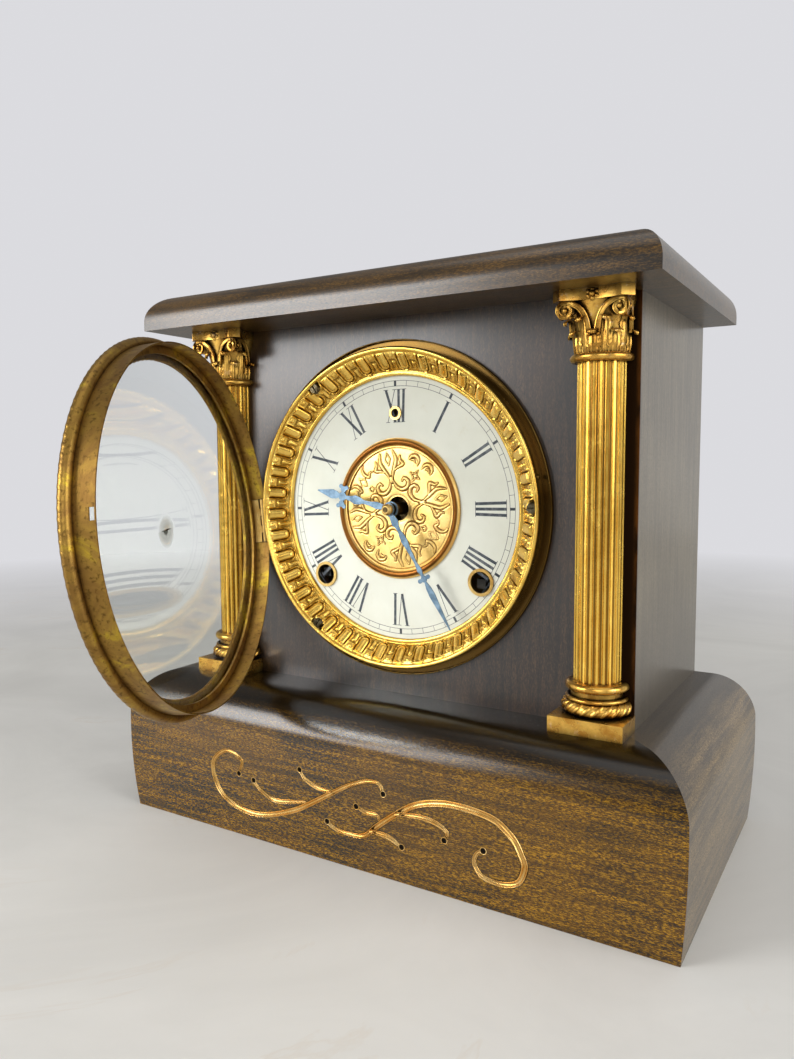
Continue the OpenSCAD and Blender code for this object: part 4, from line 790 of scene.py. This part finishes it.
def ring_section(angle):
    """The stamped ring's closed outline at an angle from the middle of an egg, and its painted shade."""
    foot, crest = np.array(RING_FOOT), np.array(RING_CREST)
    length = float(np.linalg.norm(crest - foot))
    slope = (crest - foot) / length
    normal = np.array([-slope[1], slope[0]])
    outline, recess_shade = list(RING_LIP), [0.0] * len(RING_LIP)
    for along in np.linspace(0, length, 38):
        spot = foot + slope * along
        height, gap_shade = ring_relief(along, spot[0] * angle, 2 * math.pi / EGG_COUNT * spot[0])
        edge = smoothstep(along, 0, 0.5) * (1 - smoothstep(along, length - 0.4, length))
        outline.append(tuple(spot + normal * height * edge))
        recess_shade.append(float(gap_shade))
    for i in range(1, 9):
        a = math.radians(180 - 22.5 * i)
        outline.append((RIDGE_AT + RIDGE_R * math.cos(a), RING_CREST[1] + RIDGE_R * math.sin(a)))
    outline += RING_OUTSIDE + RING_BACK
    return outline, recess_shade + [0.0] * (len(outline) - len(recess_shade))


def stamped_ring():
    """One of the ring's stamped fields, copied round the dial, and the catch that holds the closed door."""
    points, recess_shade = [], []
    columns = 31
    for angle in np.linspace(-math.pi / EGG_COUNT, math.pi / EGG_COUNT, columns):
        outline, gap_shade = ring_section(angle)
        points += [(r * math.cos(angle), r * math.sin(angle), z) for r, z in outline]
        recess_shade += gap_shade
    faces = sheet_faces(columns, len(outline), True)
    piece = new_piece("stamped_dial_ring", points, faces, recess_shade=recess_shade)
    copy_round(piece, EGG_COUNT, finishes["ring_brass"], start=EGG_START)
    settle(piece, dial_place, "case", finishes["ring_brass"], 70)
    press_round_screws(piece)
    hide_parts("dial_ring")
    catch_spot = (CATCH_AT * math.cos(CATCH_ANGLE), CATCH_AT * math.sin(CATCH_ANGLE), CATCH_Z)
    catch = new_piece("door_catch", *ball(CATCH_R, catch_spot))
    settle(catch, dial_place, "case", finishes["ring_brass"])


def press_round_screws(piece):
    """Presses a flat seat into the ring below each of its screws."""
    out = metres @ dial_place
    back = out.inverted()
    for vertex in piece.data.vertices:
        spot = back @ vertex.co
        for angle in RING_SCREW_ANGLES:
            a = math.radians(angle)
            away = math.hypot(spot.x - RING_SCREW_R * math.cos(a), spot.y - RING_SCREW_R * math.sin(a))
            embossed = math.hypot(spot.x, spot.y) < RING_CREST[0] + 0.5 and spot.z > 1.0
            if away < SCREW_SEAT_R and embossed:
                share = min(1.0, (SCREW_SEAT_R - away) / SCREW_SEAT_EDGE)
                vertex.co = out @ Vector((spot.x, spot.y, spot.z + (SCREW_SEAT_Z - spot.z) * share))


# ---------------------------------------------------------------- dial centre

CENTRE_IN = 6.2
CENTRE_OUT = 28.0
CENTRE_SWELL = 0.35
CENTRE_LIFT = 0.2
CENTRE_SUNK = 0.05
PALMETTE_ANGLES = (12, 102, 192, 282)
STAR_ANGLES = (57, 237)
CIRCLE_ANGLES = (147, 327)
STROKE_RISE = 0.5
# The groove beside a stroke: its middle and half its width in half widths of the stroke, and its depth
STROKE_GROOVE_AT = 1.35
STROKE_GROOVE_HALF = 0.5
STROKE_GROOVE_DEEP = 0.16

# The strokes of the ornament are (line, half width, whether its ends taper), each line a list of
# (outwards, sideways) from the dial's middle, in millimetres


def turned(points, angle, flip=1):
    """The points turned to an angle in degrees, and mirrored where flip is -1."""
    c, n = math.cos(math.radians(angle)), math.sin(math.radians(angle))
    return [(r * c - flip * s * n, r * n + flip * s * c) for r, s in points]


def palmette(angle):
    """Strokes of one palmette: a diamond between two leaves, and two scrolls that curl round the middle."""
    strokes = [(turned([(20.2, 0), (23, 1.4), (26, 0), (23, -1.4), (20.2, 0)], angle), 0.3, False)]
    for side in (1, -1):
        leaf = [(13.6, 0.5), (16.5, 1.6), (19.4, 3.2), (22.4, 4.4), (26.3, 3.6)]
        lobe = [(17.4, 2.4), (18.4, 4.8), (19.2, 7.6), (21.5, 6.4), (23.2, 6.8)]
        scroll = [(13.4, 0.6), (9.8, 2.0), (8.0, 4.8), (8.8, 7.6), (11.4, 8.4), (12.9, 6.6), (11.8, 5.4)]
        strokes.append((turned(leaf, angle, side), 0.5, True))
        strokes.append((turned(lobe, angle, side), 0.45, True))
        strokes.append((turned(scroll, angle, side), 0.55, True))
    strokes.append((turned([(12.6, 0), (14.4, 0)], angle), 0.8, False))
    return strokes


def star_group(angle):
    """Strokes of a star between two crescents."""
    star = []
    for i in range(9):
        r = 2.9 if i % 2 == 0 else 1.0
        a = math.radians(45 * i)
        star.append((17.6 + r * math.cos(a), r * math.sin(a)))
    strokes = [(turned(star, angle), 0.28, False)]
    for side in (1, -1):
        crescent = [(22.2, 1.4), (24.6, 2.0), (25.6, 4.2), (24.2, 6.2), (22.6, 6.4)]
        inner = [(22.6, 3.0), (23.6, 4.2), (22.9, 5.4)]
        strokes.append((turned(crescent, angle, side), 0.5, True))
        strokes.append((turned(inner, angle, side), 0.3, True))
    return strokes


def circle_group(angle):
    """Strokes of a small circle and a diamond between two leaves."""
    ring = [(16.4 + 1.1 * math.cos(a), 1.1 * math.sin(a)) for a in np.linspace(0, 2 * math.pi, 13)]
    diamond = [(19.4, 0), (22, 1.9), (24.8, 0), (22, -1.9), (19.4, 0)]
    strokes = [(turned(ring, angle), 0.28, False), (turned(diamond, angle), 0.3, False)]
    for side in (1, -1):
        leaf = [(20.2, 7.4), (21.4, 5.6), (20.6, 4.0), (23.4, 3.4), (25.8, 4.6), (26.4, 6.4)]
        strokes.append((turned(leaf, angle, side), 0.45, True))
    return strokes


def centre_relief(x, y):
    """Height and painted shade of the centre's ornament at each point."""
    height = np.zeros_like(x)
    recess_shade = np.zeros_like(x)
    strokes = []
    for group, angles in (
        (palmette, PALMETTE_ANGLES),
        (star_group, STAR_ANGLES),
        (circle_group, CIRCLE_ANGLES),
    ):
        for angle in angles:
            strokes += group(angle)
    for points, half, taper in strokes:
        if len(points) > 2 and taper:
            line, share = smooth_path(points, 0.8)
        else:
            line, share = np.array(points), np.linspace(0, 1, len(points))
        best = np.full_like(x, 99.0)
        for (a, b), s in zip(zip(line, line[1:]), share):
            d = b - a
            t = np.clip(((x - a[0]) * d[0] + (y - a[1]) * d[1]) / max(d @ d, 1e-9), 0, 1)
            away = np.hypot(x - a[0] - t * d[0], y - a[1] - t * d[1])
            wide = half * (0.55 + 0.9 * math.sin(math.pi * min(1.0, max(0.0, s)))) if taper else half
            best = np.minimum(best, away / wide)
        height = np.maximum(height, STROKE_RISE * dome(best, 1.0))
        # Painted shade in the groove beside each stroke; the same mask also sinks that groove
        groove = ridge(best - STROKE_GROOVE_AT, STROKE_GROOVE_HALF)
        recess_shade = np.maximum(recess_shade, groove * (best > 0.85))
    return height - STROKE_GROOVE_DEEP * recess_shade * (height < 0.1), recess_shade * (height < 0.3)


def centre_ornament():
    """Half of the centre's embossed field, copied to both sides."""
    rows, columns = 84, 300
    radius = np.linspace(CENTRE_IN, CENTRE_OUT, rows)[:, None] * np.ones((1, columns + 1))
    angle = np.linspace(0, math.pi, columns + 1)[None, :] * np.ones((rows, 1))
    x, y = radius * np.cos(angle), radius * np.sin(angle)
    height, recess_shade = centre_relief(x, y)
    edge = smoothstep(radius, CENTRE_IN, CENTRE_IN + 0.5)
    edge = edge * (1 - smoothstep(radius, CENTRE_OUT - 0.6, CENTRE_OUT))
    across = np.clip((radius - CENTRE_IN) / (CENTRE_OUT - CENTRE_IN), 0, 1)
    swell = CENTRE_SWELL * np.sin(across * math.pi)
    z = CENTRE_FACE + (height + swell + CENTRE_LIFT) * edge - CENTRE_SUNK
    points = np.stack([x, y, z], -1).reshape(-1, 3)
    faces = [tuple(reversed(f)) for f in sheet_faces(rows, columns + 1)]
    piece = new_piece("dial_centre_ornament", points, faces, recess_shade=(recess_shade * edge).reshape(-1))
    copy_round(piece, 2, centre_finish)
    settle(piece, print_place, "case", centre_finish, 80)


# ---------------------------------------------------------------- dial print

PRINT_Z = PAN_FACE + 0.03
NUMERAL_LOW = 39.4
NUMERAL_HIGH = 54.1
TRACK_IN = 55.7
TRACK_OUT = 58.1
TRACK_LINE = 0.22
MINUTE_WIDTH = 0.2
FIVE_MINUTE_WIDTH = 1.2
BAR = 1.3
HAIR = 0.24
SERIF = 1.3
SERIF_OF_I = 1.35
NUMERAL_ROOM = {"I": 2.7, "V": 6.0, "X": 6.2}
NUMERAL_TAPER = 0.16


def bar(points, faces, foot, head, width):
    """A printed bar from foot to head, with square ends."""
    foot, head = np.array(foot), np.array(head)
    run = (head - foot) / np.linalg.norm(head - foot)
    side = np.array([-run[1], run[0]]) * width / 2
    first = len(points)
    for corner in (foot - side, foot + side, head + side, head - side):
        points.append((corner[0], corner[1], PRINT_Z))
    faces.append((first + 3, first + 2, first + 1, first))


def serif(middle, reach, height):
    return (middle - reach, height), (middle + reach, height), HAIR


def numeral_strokes(text):
    """Bars of a Roman numeral as (foot, head, width), with its middle at sideways 0."""
    low, high = NUMERAL_LOW, NUMERAL_HIGH
    left = -sum(NUMERAL_ROOM[letter] for letter in text) / 2
    strokes = []
    for letter in text:
        middle = left + NUMERAL_ROOM[letter] / 2
        reach = NUMERAL_ROOM[letter] / 2 - 0.75
        if letter == "I":
            strokes.append(((middle, low), (middle, high), BAR))
            strokes += [serif(middle, SERIF_OF_I, height) for height in (low, high)]
        if letter == "V":
            strokes.append(((middle, low), (middle - reach, high), BAR))
            strokes.append(((middle + 0.3, low), (middle + reach, high), HAIR + 0.1))
            strokes += [serif(middle + side * reach, SERIF, high) for side in (-1, 1)]
        if letter == "X":
            strokes.append(((middle + reach, low), (middle - reach, high), BAR))
            strokes.append(((middle - reach, low), (middle + reach, high), HAIR + 0.1))
            for side in (-1, 1):
                strokes += [serif(middle + side * reach, SERIF, height) for height in (low, high)]
        left += NUMERAL_ROOM[letter]
    return strokes


def dial_print():
    """The minute circles and the twelve numerals, their feet towards the middle."""
    points, faces = [], []
    for radius in (TRACK_IN, TRACK_OUT):
        first = len(points)
        turns = 240
        for i in range(turns):
            a = 2 * math.pi * i / turns
            for r in (radius - TRACK_LINE / 2, radius + TRACK_LINE / 2):
                points.append((r * math.cos(a), r * math.sin(a), PRINT_Z))
        for i in range(turns):
            j = (i + 1) % turns
            faces.append((first + 2 * i, first + 2 * i + 1, first + 2 * j + 1, first + 2 * j))
    hours = ["XII", "I", "II", "III", "IIII", "V", "VI", "VII", "VIII", "IX", "X", "XI"]
    for hour, text in enumerate(hours):
        a = math.radians(-30 * hour)
        for foot, head, width in numeral_strokes(text):
            ends = []
            for side, out in (foot, head):
                share = (out - NUMERAL_LOW) / (NUMERAL_HIGH - NUMERAL_LOW)
                side = side * (1 - NUMERAL_TAPER + NUMERAL_TAPER * share)
                x = side * math.cos(a) - out * math.sin(a)
                y = side * math.sin(a) + out * math.cos(a)
                ends.append((x, y))
            bar(points, faces, *ends, width)
    piece = new_piece("dial_numerals", points, faces)
    settle(piece, print_place, "case", ink)
    for name, count, width, inner, outer in (
        ("minute_marks", 60, MINUTE_WIDTH, TRACK_IN, TRACK_OUT),
        ("five_minute_marks", 12, FIVE_MINUTE_WIDTH, TRACK_IN - 0.1, TRACK_OUT + 0.1),
    ):
        points, faces = [], []
        bar(points, faces, (inner, 0), (outer, 0), width)
        piece = new_piece(name, points, faces)
        copy_round(piece, count, ink, weld=0.0001)
        settle(piece, print_place, "case", ink)


# ---------------------------------------------------------------- rope edge of the door's bezel

ROPE_TWISTS = 132
ROPE_FROM = -62
ROPE_ROUND = 190
ROPE_LEAN = 0.9
ROPE_RISE = 0.42
ROPE_LOWEST = 0.03
ROPE_SEAM = -0.1
ROPE_SUNK = 0.35


def rope_edge():
    """One twist of the rope on the bezel's rounded edge, copied round it."""
    rows, columns = 15, 9
    half = math.pi / ROPE_TWISTS
    points = []
    for i in range(rows):
        around = math.radians(ROPE_FROM + ROPE_ROUND * i / (rows - 1))
        lean = 2 * half * ROPE_LEAN * (i / (rows - 1) - 0.5)
        ends = math.sin(math.pi * i / (rows - 1)) ** 0.5
        for j in range(columns):
            rise = ROPE_LOWEST + ROPE_RISE * ends * math.cos(math.pi * (j / (columns - 1) - 0.5)) ** 0.7
            if j in (0, columns - 1):
                rise = ROPE_SEAM
            tube = ROPE_TUBE + rise - ROPE_SUNK
            r = ROPE_R + tube * math.cos(around)
            a = -half + 2 * half * j / (columns - 1) + lean
            points.append((r * math.cos(a), r * math.sin(a), ROPE_Z + tube * math.sin(around)))
    piece = new_piece("bezel_rope_edge", points, sheet_faces(rows, columns))
    copy_round(piece, ROPE_TWISTS, finishes["bezel_brass"], weld=0.002)
    settle(piece, door_place, "glass_door", finishes["bezel_brass"], 60)


# ---------------------------------------------------------------- columns

BELL_FOOT_R = 9.8
LEAF_THICK = 0.55
LEAF_BEND = 215
LEAF_STAND = 0.88


def bell_radius(z):
    """Radius of a capital's bell at a height over its foot."""
    return BELL_FOOT_R + BELL_HOLLOW - math.sqrt(BELL_HOLLOW**2 - (z - LEAF_FOOT) ** 2)


def leaf_sheet(height, width, lift_off, curl, lobes, rows=22, columns=13):
    """An acanthus leaf as a closed sheet that stands on the capital's bell, its tip curled outwards."""
    front, back = [], []
    upright = 0.7
    bend_z = height * LEAF_STAND
    bend_r = bell_radius(LEAF_FOOT + bend_z) + lift_off
    for i in range(rows):
        t = i / (rows - 1)
        if t < upright:
            z = bend_z * t / upright
            r = bell_radius(LEAF_FOOT + z) + lift_off + 0.5 * math.sin(math.pi * t / upright)
        else:
            bend = math.radians(LEAF_BEND) * (t - upright) / (1 - upright)
            z = bend_z + curl * math.sin(bend) * 0.8
            r = bend_r + curl * (1 - math.cos(bend))
        wave = 0.76 + 0.24 * abs(math.sin(math.pi * lobes * t + 0.4))
        span = width / 2 * wave * (0.8 + 0.35 * math.sin(math.pi * min(1, t * 1.15)))
        if t > 0.8:
            span *= math.sqrt(max(0.05, 1 - ((t - 0.8) / 0.2) ** 2))
        for j in range(columns):
            v = 2 * j / (columns - 1) - 1
            veins = 0.2 * math.cos(4 * math.pi * v) * (1 - t * 0.5)
            rib = 0.3 * (1 - abs(v)) ** 3 + veins - 0.35 * v * v
            a = v * span / (r + 1)
            for line, lift in ((front, rib), (back, rib - LEAF_THICK)):
                line.append(((r + lift) * math.cos(a), (r + lift) * math.sin(a), z))
    points = front + back
    size = rows * columns
    faces = [tuple(reversed(f)) for f in sheet_faces(rows, columns)]
    faces += [tuple(size + k for k in f) for f in sheet_faces(rows, columns)]
    rim = list(range(columns))
    rim += [i * columns + columns - 1 for i in range(1, rows)]
    rim += [(rows - 1) * columns + j for j in range(columns - 2, -1, -1)]
    rim += [i * columns for i in range(rows - 2, 0, -1)]
    for a, b in zip(rim, rim[1:] + rim[:1]):
        faces.append((a, b, size + b, size + a))
    return points, [tuple(reversed(f)) for f in faces]


VOLUTE_POINTS = 14


def spiral(start, eye, radius, turns, side):
    """A stem that rises from start and winds into a volute round its eye, in the plane of one face."""
    points = [start]
    points.append((start[0] + side * 1.1, start[1] + 5.2))
    points.append((start[0] + side * 3.4, start[1] + 9.0))
    for i in range(int(turns * VOLUTE_POINTS) + 1):
        t = i / (turns * VOLUTE_POINTS)
        a = math.radians(118) - 2 * math.pi * turns * t
        r = radius * (1 - 0.72 * t)
        points.append((eye[0] + side * r * math.cos(a), eye[1] + r * math.sin(a)))
    return points


def capital_leaves(side, place):
    """Two rows of leaves round the bell, the high ones between the low ones."""
    for name, count, start, size in (
        ("low", 5, -180, {"height": 8.6, "width": 7.0, "lift_off": 0.5, "curl": 1.5, "lobes": 4.5}),
        ("high", 4, -157.5, {"height": 14.0, "width": 6.0, "lift_off": 0.3, "curl": 1.7, "lobes": 5.5}),
    ):
        points, faces = leaf_sheet(**size)
        points = [(x, y, z + LEAF_FOOT - 0.3) for x, y, z in points]
        piece = new_piece(f"{side}_capital_{name}_leaves", points, faces)
        copy_round(piece, count, gilding, start=start, weld=0.0001, step=45)
        settle(piece, place, "case", gilding, 60)


# A flat stem with two raised edges, as (side, out)
RIBBON = [
    (-1.0, -0.42), (-1.0, 0.42), (-0.72, 0.5), (-0.5, 0.2),
    (0.5, 0.2), (0.72, 0.5), (1.0, 0.42), (1.0, -0.42),
]
STEM_FOOT = (1.6, 10.6)
VOLUTE_EYE = (10.6, 19.0)
VOLUTE_R = 3.3
VOLUTE_TURNS = 1.6
FLOWER_Z = 24.6
SHELL_Z = 8.8


def capital_volutes(side, place):
    """Stems and volutes: a pair on the front face, and one on each side face."""
    for name, turn, pair in (("front", 0, (-1, 1)), ("left", -90, (1,)), ("right", 90, (-1,))):
        paths, widths = [], []
        for s in pair:
            foot = (s * STEM_FOOT[0], STEM_FOOT[1])
            eye = (s * VOLUTE_EYE[0], VOLUTE_EYE[1])
            flat = spiral(foot, eye, VOLUTE_R, VOLUTE_TURNS, s)
            line, share = smooth_path(flat, 0.5)
            path = []
            for h, z in line:
                depth = 10.9 + 0.16 * abs(h) + 0.9 * math.sin(min(1.0, abs(h) / 10) * math.pi)
                path.append((h, -depth, z))
            paths.append(path)
            widths.append(list(1.15 - 0.6 * share))
        here = place @ Matrix.Rotation(math.radians(turn), 4, "Z")
        drawn_along(f"{side}_capital_{name}_volutes", paths, widths, RIBBON, here, gilding, 50)


def capital_bosses(side, place):
    """A flower on the abacus in front, balls in the volutes' eyes, and a small shell between the stems."""
    eye_out, eye_z = VOLUTE_EYE
    eye_ahead = 13.4
    shapes = [ball(1.25, (0, -13.1, FLOWER_Z))]
    for i in range(6):
        a = math.radians(60 * i + 30)
        shapes.append(ball(1.15, (1.9 * math.cos(a), -12.3, FLOWER_Z + 1.6 * math.sin(a)), 6, 10))
    for s in (-1, 1):
        shapes.append(ball(1.0, (s * eye_out, -eye_ahead, eye_z)))
        shapes.append(ball(1.0, (s * eye_ahead, -eye_out, eye_z)))
    for i in range(5):
        a = math.radians(-60 + 30 * i)
        shapes.append(ball(0.75, (2.1 * math.sin(a), -11.1, SHELL_Z + 2.2 * math.cos(a)), 6, 10))
    piece = new_piece(f"{side}_capital_bosses", *join_shapes(shapes))
    settle(piece, place, "case", gilding, 60)


TORUS_R = 11.0
TORUS_TUBE = 2.75
TORUS_Z = 2.8
FOOT_LEAVES = 11
FOOT_LEAF_START = -178
FOOT_LEAF_STEP = 17.6
FOOT_LEAF_TURN = 0.42


def column_foot_leaves(side, place):
    """Leaves laid aslant round the foot's torus."""
    rows, columns = 17, 7
    points = []
    for i in range(rows):
        t = i / (rows - 1)
        around = math.radians(-52 + 128 * t)
        lobed = 0.82 + 0.18 * abs(math.cos(3.5 * math.pi * t))
        span = (0.25 + 1.5 * math.sin(math.pi * t) ** 0.7) * lobed
        for j in range(columns):
            v = 2 * j / (columns - 1) - 1
            rise = 0.55 * (1 - abs(v)) ** 0.6 * math.sin(math.pi * t) ** 0.4
            if abs(v) == 1:
                rise -= 0.2
            r = TORUS_R + (TORUS_TUBE + rise) * math.cos(around)
            z = TORUS_Z + (TORUS_TUBE + rise) * math.sin(around)
            a = v * span / r + FOOT_LEAF_TURN * (t - 0.5)
            points.append((r * math.cos(a), r * math.sin(a), z))
    piece = new_piece(f"{side}_foot_leaves", points, sheet_faces(rows, columns))
    copy_round(piece, FOOT_LEAVES, gilding, start=FOOT_LEAF_START, weld=0.0001, step=FOOT_LEAF_STEP)
    settle(piece, place, "case", gilding, 60)


def column_ornament():
    """The cast ornament of both columns' capitals and feet."""
    for side, s in (("left", -1), ("right", 1)):
        top = Matrix.Translation((s * COLUMN_X, COLUMN_Y, CAPITAL_Z))
        foot = Matrix.Translation((s * COLUMN_X, COLUMN_Y, COLUMN_FOOT_Z))
        capital_leaves(side, top)
        capital_volutes(side, top)
        capital_bosses(side, top)
        column_foot_leaves(side, foot)


# ---------------------------------------------------------------- carving on the base

CARVE_HALF = 1.1
HOLE_R = 1.2
HOLE_SIDES = 20
HOLE_DEEP = 0.4
# The rim round a hole, as (distance past the hole's edge, height over the base's face)
HOLE_RIM = [(0, -0.4), (0.05, 0.08), (0.25, 0.14), (0.45, -0.1)]

# Each line of the carving: its (x, z) on the base's face, whether it starts in a hole, whether it ends in
# one, and its width as a share of the widest
CARVED_LINES = [
    (
        [(-66, 31), (-64, 38), (-73, 41), (-81, 36), (-82.5, 29.5), (-79.5, 21.5), (-72.5, 15.5),
         (-60.5, 13), (-48.5, 14.5), (-33.5, 20), (-22, 26.5), (-11.5, 33), (-2, 38.5), (7, 42),
         (13, 42), (15, 38)],
        True, True, 1.0,
    ),
    ([(-57, 29.5), (-52, 25), (-43.5, 22.5), (-26.5, 25.5)], True, False, 0.85),
    ([(-29.5, 40), (-26, 36), (-19, 33.5), (-12, 33.5)], True, False, 0.8),
    (
        [(-15, 19), (-10.5, 16.5), (-3, 16), (4.5, 17), (11, 22.5), (18.5, 28.5), (29.5, 36),
         (40, 39.5), (51.5, 40.5), (66, 38.5), (74, 33), (78, 26), (79, 21.5), (76, 15), (68.5, 12.5),
         (61, 13.5), (57.5, 18), (58.5, 22.5), (61.5, 24.5)],
        True, True, 1.1,
    ),
    ([(1, 29.5), (6, 28), (11.5, 28), (13, 25.5)], True, False, 0.75),
    ([(20, 30), (23.5, 31), (34, 32), (42, 30.5), (45.5, 28), (44, 24.5)], False, True, 0.85),
    ([(7, 19.5), (10, 20), (17, 19.5), (23.5, 16.5)], False, True, 0.85),
]
# The groove's section with its raised lips, as (side, out) in shares of its half width
GROOVE = [
    (-1.4, -0.3), (-1.3, 0.12), (-1.1, 0.3), (-0.9, 0.16), (-0.7, -0.3), (-0.4, -0.62), (0, -0.72),
    (0.4, -0.62), (0.7, -0.3), (0.9, 0.16), (1.1, 0.3), (1.3, 0.12), (1.4, -0.3), (0.7, -0.8),
    (-0.7, -0.8),
]


def base_face(z):
    """How far forward the base's face stands at a height."""
    return SWELL_Y + SWELL_R - math.sqrt(SWELL_R**2 - (z - SWELL_Z) ** 2)


def around_hole(x, z, radius, out):
    """Points round a hole in the base, out from its face."""
    turns = [2 * math.pi * i / HOLE_SIDES for i in range(HOLE_SIDES)]
    return [(x + radius * math.cos(a), base_face(z) - out, z + radius * math.sin(a)) for a in turns]


def base_carving():
    """The gold grooves of the base, and the drilled holes with raised rims that they run into, each closed
    by a dark sheet of painted shade.
    """
    paths, widths, rims, dots = [], [], [], []
    rim_faces = [tuple(reversed(f)) for f in sheet_faces(len(HOLE_RIM), HOLE_SIDES, True)]
    for points, hole_first, hole_last, wide in CARVED_LINES:
        line, share = smooth_path(points, 0.7)
        ends = [end for end, drilled in ((points[0], hole_first), (points[-1], hole_last)) if drilled]
        clear = [i for i, spot in enumerate(line) if all(math.dist(spot, end) > HOLE_R for end in ends)]
        paths.append([(line[i][0], base_face(line[i][1]), line[i][1]) for i in clear])
        widths.append([CARVE_HALF * wide * (0.55 + 0.45 * math.sin(math.pi * share[i])) for i in clear])
        for x, z in ends:
            loops = [around_hole(x, z, HOLE_R + past, out) for past, out in HOLE_RIM]
            rims.append((sum(loops, []), rim_faces))
            # A dark sheet of painted shade at the bottom of each hole
            dots.append((around_hole(x, z, HOLE_R, -HOLE_DEEP), [tuple(range(HOLE_SIDES))]))
    drawn_along("base_carved_lines", paths, widths, GROOVE, Matrix.Identity(4), carving_finish, 70)
    for name, shapes, finish in (
        ("carving_hole_rims", rims, carving_finish),
        ("carving_holes", dots, hole_finish),
    ):
        piece = new_piece(name, *join_shapes(shapes))
        settle(piece, Matrix.Identity(4), "case", finish, 60)


# ---------------------------------------------------------------- camera and light

# Where the photograph was taken from, in millimetres, and how the camera was turned, in radians
CAMERA_SPOT = (198.744, -362.194, 179.015)
CAMERA_YAW = 0.549
CAMERA_PITCH = 0.084
CAMERA_ROLL = -0.005
SENSOR_WIDTH = 36.0
FOCAL_LENGTH = 28.32

WORLD_LIGHT = 0.24
BACKDROP = (0.71, 0.71, 0.74, 1)
# In metres from the clock
FLOOR_HALF = 4
FLOOR_FADE = (0.5, 1.3)


def camera():
    data = bpy.data.cameras.new("camera")
    data.sensor_width = SENSOR_WIDTH
    data.lens = FOCAL_LENGTH
    data.clip_start = 0.01
    made = bpy.data.objects.new("camera", data)
    level = math.cos(CAMERA_PITCH)
    forward = Vector((-math.sin(CAMERA_YAW) * level, math.cos(CAMERA_YAW) * level, -math.sin(CAMERA_PITCH)))
    right = Vector((math.cos(CAMERA_YAW), math.sin(CAMERA_YAW), 0))
    up = right.cross(forward)
    across = right * math.cos(CAMERA_ROLL) + up * math.sin(CAMERA_ROLL)
    upward = up * math.cos(CAMERA_ROLL) - right * math.sin(CAMERA_ROLL)
    turn = Matrix((across, upward, -forward)).transposed()
    made.matrix_world = Matrix.Translation(Vector(CAMERA_SPOT) * MM) @ turn.to_4x4()
    bpy.context.scene.collection.objects.link(made)
    bpy.context.scene.camera = made


def seen_rays(maker):
    """1 for rays from the camera and rays through glass, 0 for all others."""
    path = maker.node("ShaderNodeLightPath")
    return maker.maths("MAXIMUM", path.outputs["Is Camera Ray"], path.outputs["Is Transmission Ray"])


def room():
    """An even light from all round, and the pale backdrop that the camera sees."""
    world = bpy.data.worlds.new("room")
    bpy.context.scene.world = world
    world.use_nodes = True
    maker = NodeMaker()
    maker.tree = world.node_tree
    light = maker.tree.nodes["Background"]
    light.inputs["Color"].default_value = (1, 1, 1, 1)
    light.inputs["Strength"].default_value = WORLD_LIGHT
    backdrop = maker.node("ShaderNodeBackground", Color=BACKDROP, Strength=1.0)
    both = maker.mix_shaders(seen_rays(maker), light.outputs[0], backdrop.outputs[0])
    maker.feed(maker.tree.nodes["World Output"].inputs["Surface"], both)


def pale_floor():
    """Clouded stone with faint veins, which fades into the backdrop away from the clock."""
    pale = Finish("pale_floor", Roughness=0.45, Specular_IOR_Level=0.3)
    cloud = pale.noise(pale.where, 5.0, 6.0, 0.6, 1.2)
    stone = pale.mix(pale.between(cloud, 0.35, 0.7), rgb(212, 210, 205), rgb(226, 224, 219))
    veins = pale.maths("SUBTRACT", pale.noise(pale.where, 3.2, 7.0, 0.62, 1.6), 0.5)
    line = pale.between(pale.maths("ABSOLUTE", veins), 0.012, 0.0)
    faint = pale.times(line, pale.between(cloud, 0.5, 1.3))
    pale.colour(pale.mix(faint, stone, rgb(196, 168, 132)))
    fade = pale.between(pale.vector("LENGTH", pale.where)["Value"], *FLOOR_FADE)
    glow = pale.node("ShaderNodeEmission", Color=BACKDROP, Strength=1.0)
    both = pale.mix_shaders(pale.times(fade, seen_rays(pale)), pale.shader.outputs[0], glow.outputs[0])
    pale.feed(pale.tree.nodes["Material Output"].inputs["Surface"], both)
    return pale.material


def lay_floor():
    corners = [(x * FLOOR_HALF, y * FLOOR_HALF, 0) for x, y in ((-1, -1), (1, -1), (1, 1), (-1, 1))]
    floor = new_piece("floor", corners, [(0, 1, 2, 3)], finish=pale_floor())


def lamp(name, spot, aim, size, power):
    """A soft rectangular lamp, its places and sizes in metres and its power in watts."""
    data = bpy.data.lights.new(name, "AREA")
    data.shape = "RECTANGLE"
    data.size, data.size_y = size
    data.energy = power
    made = bpy.data.objects.new(name, data)
    made.location = spot
    made.rotation_mode = "QUATERNION"
    made.rotation_quaternion = (Vector(aim) - Vector(spot)).to_track_quat("-Z", "Y")
    bpy.context.scene.collection.objects.link(made)


def lamps():
    lamp("left_window", (-0.98, -1.25, 0.62), (0, 0, 0.1), (0.72, 0.72), 17)
    lamp("front_fill", (0.6, -1.35, 0.7), (0, 0, 0.12), (0.8, 0.8), 6)
    lamp("ceiling", (0.1, -0.2, 1.7), (0, 0, 0.1), (1.4, 1.4), 6)
    lamp("right_fill", (1.6, -0.15, 0.7), (0, 0, 0.12), (1.1, 1.1), 16)
    lamp("back_wall", (0.6, 1.5, 0.55), (0, 0, 0.12), (1.6, 1.2), 2.4)


bpy.context.scene.view_settings.view_transform = "Standard"
camera()
room()
lay_floor()
lamps()
stamped_ring()
centre_ornament()
dial_print()
rope_edge()
column_ornament()
base_carving()
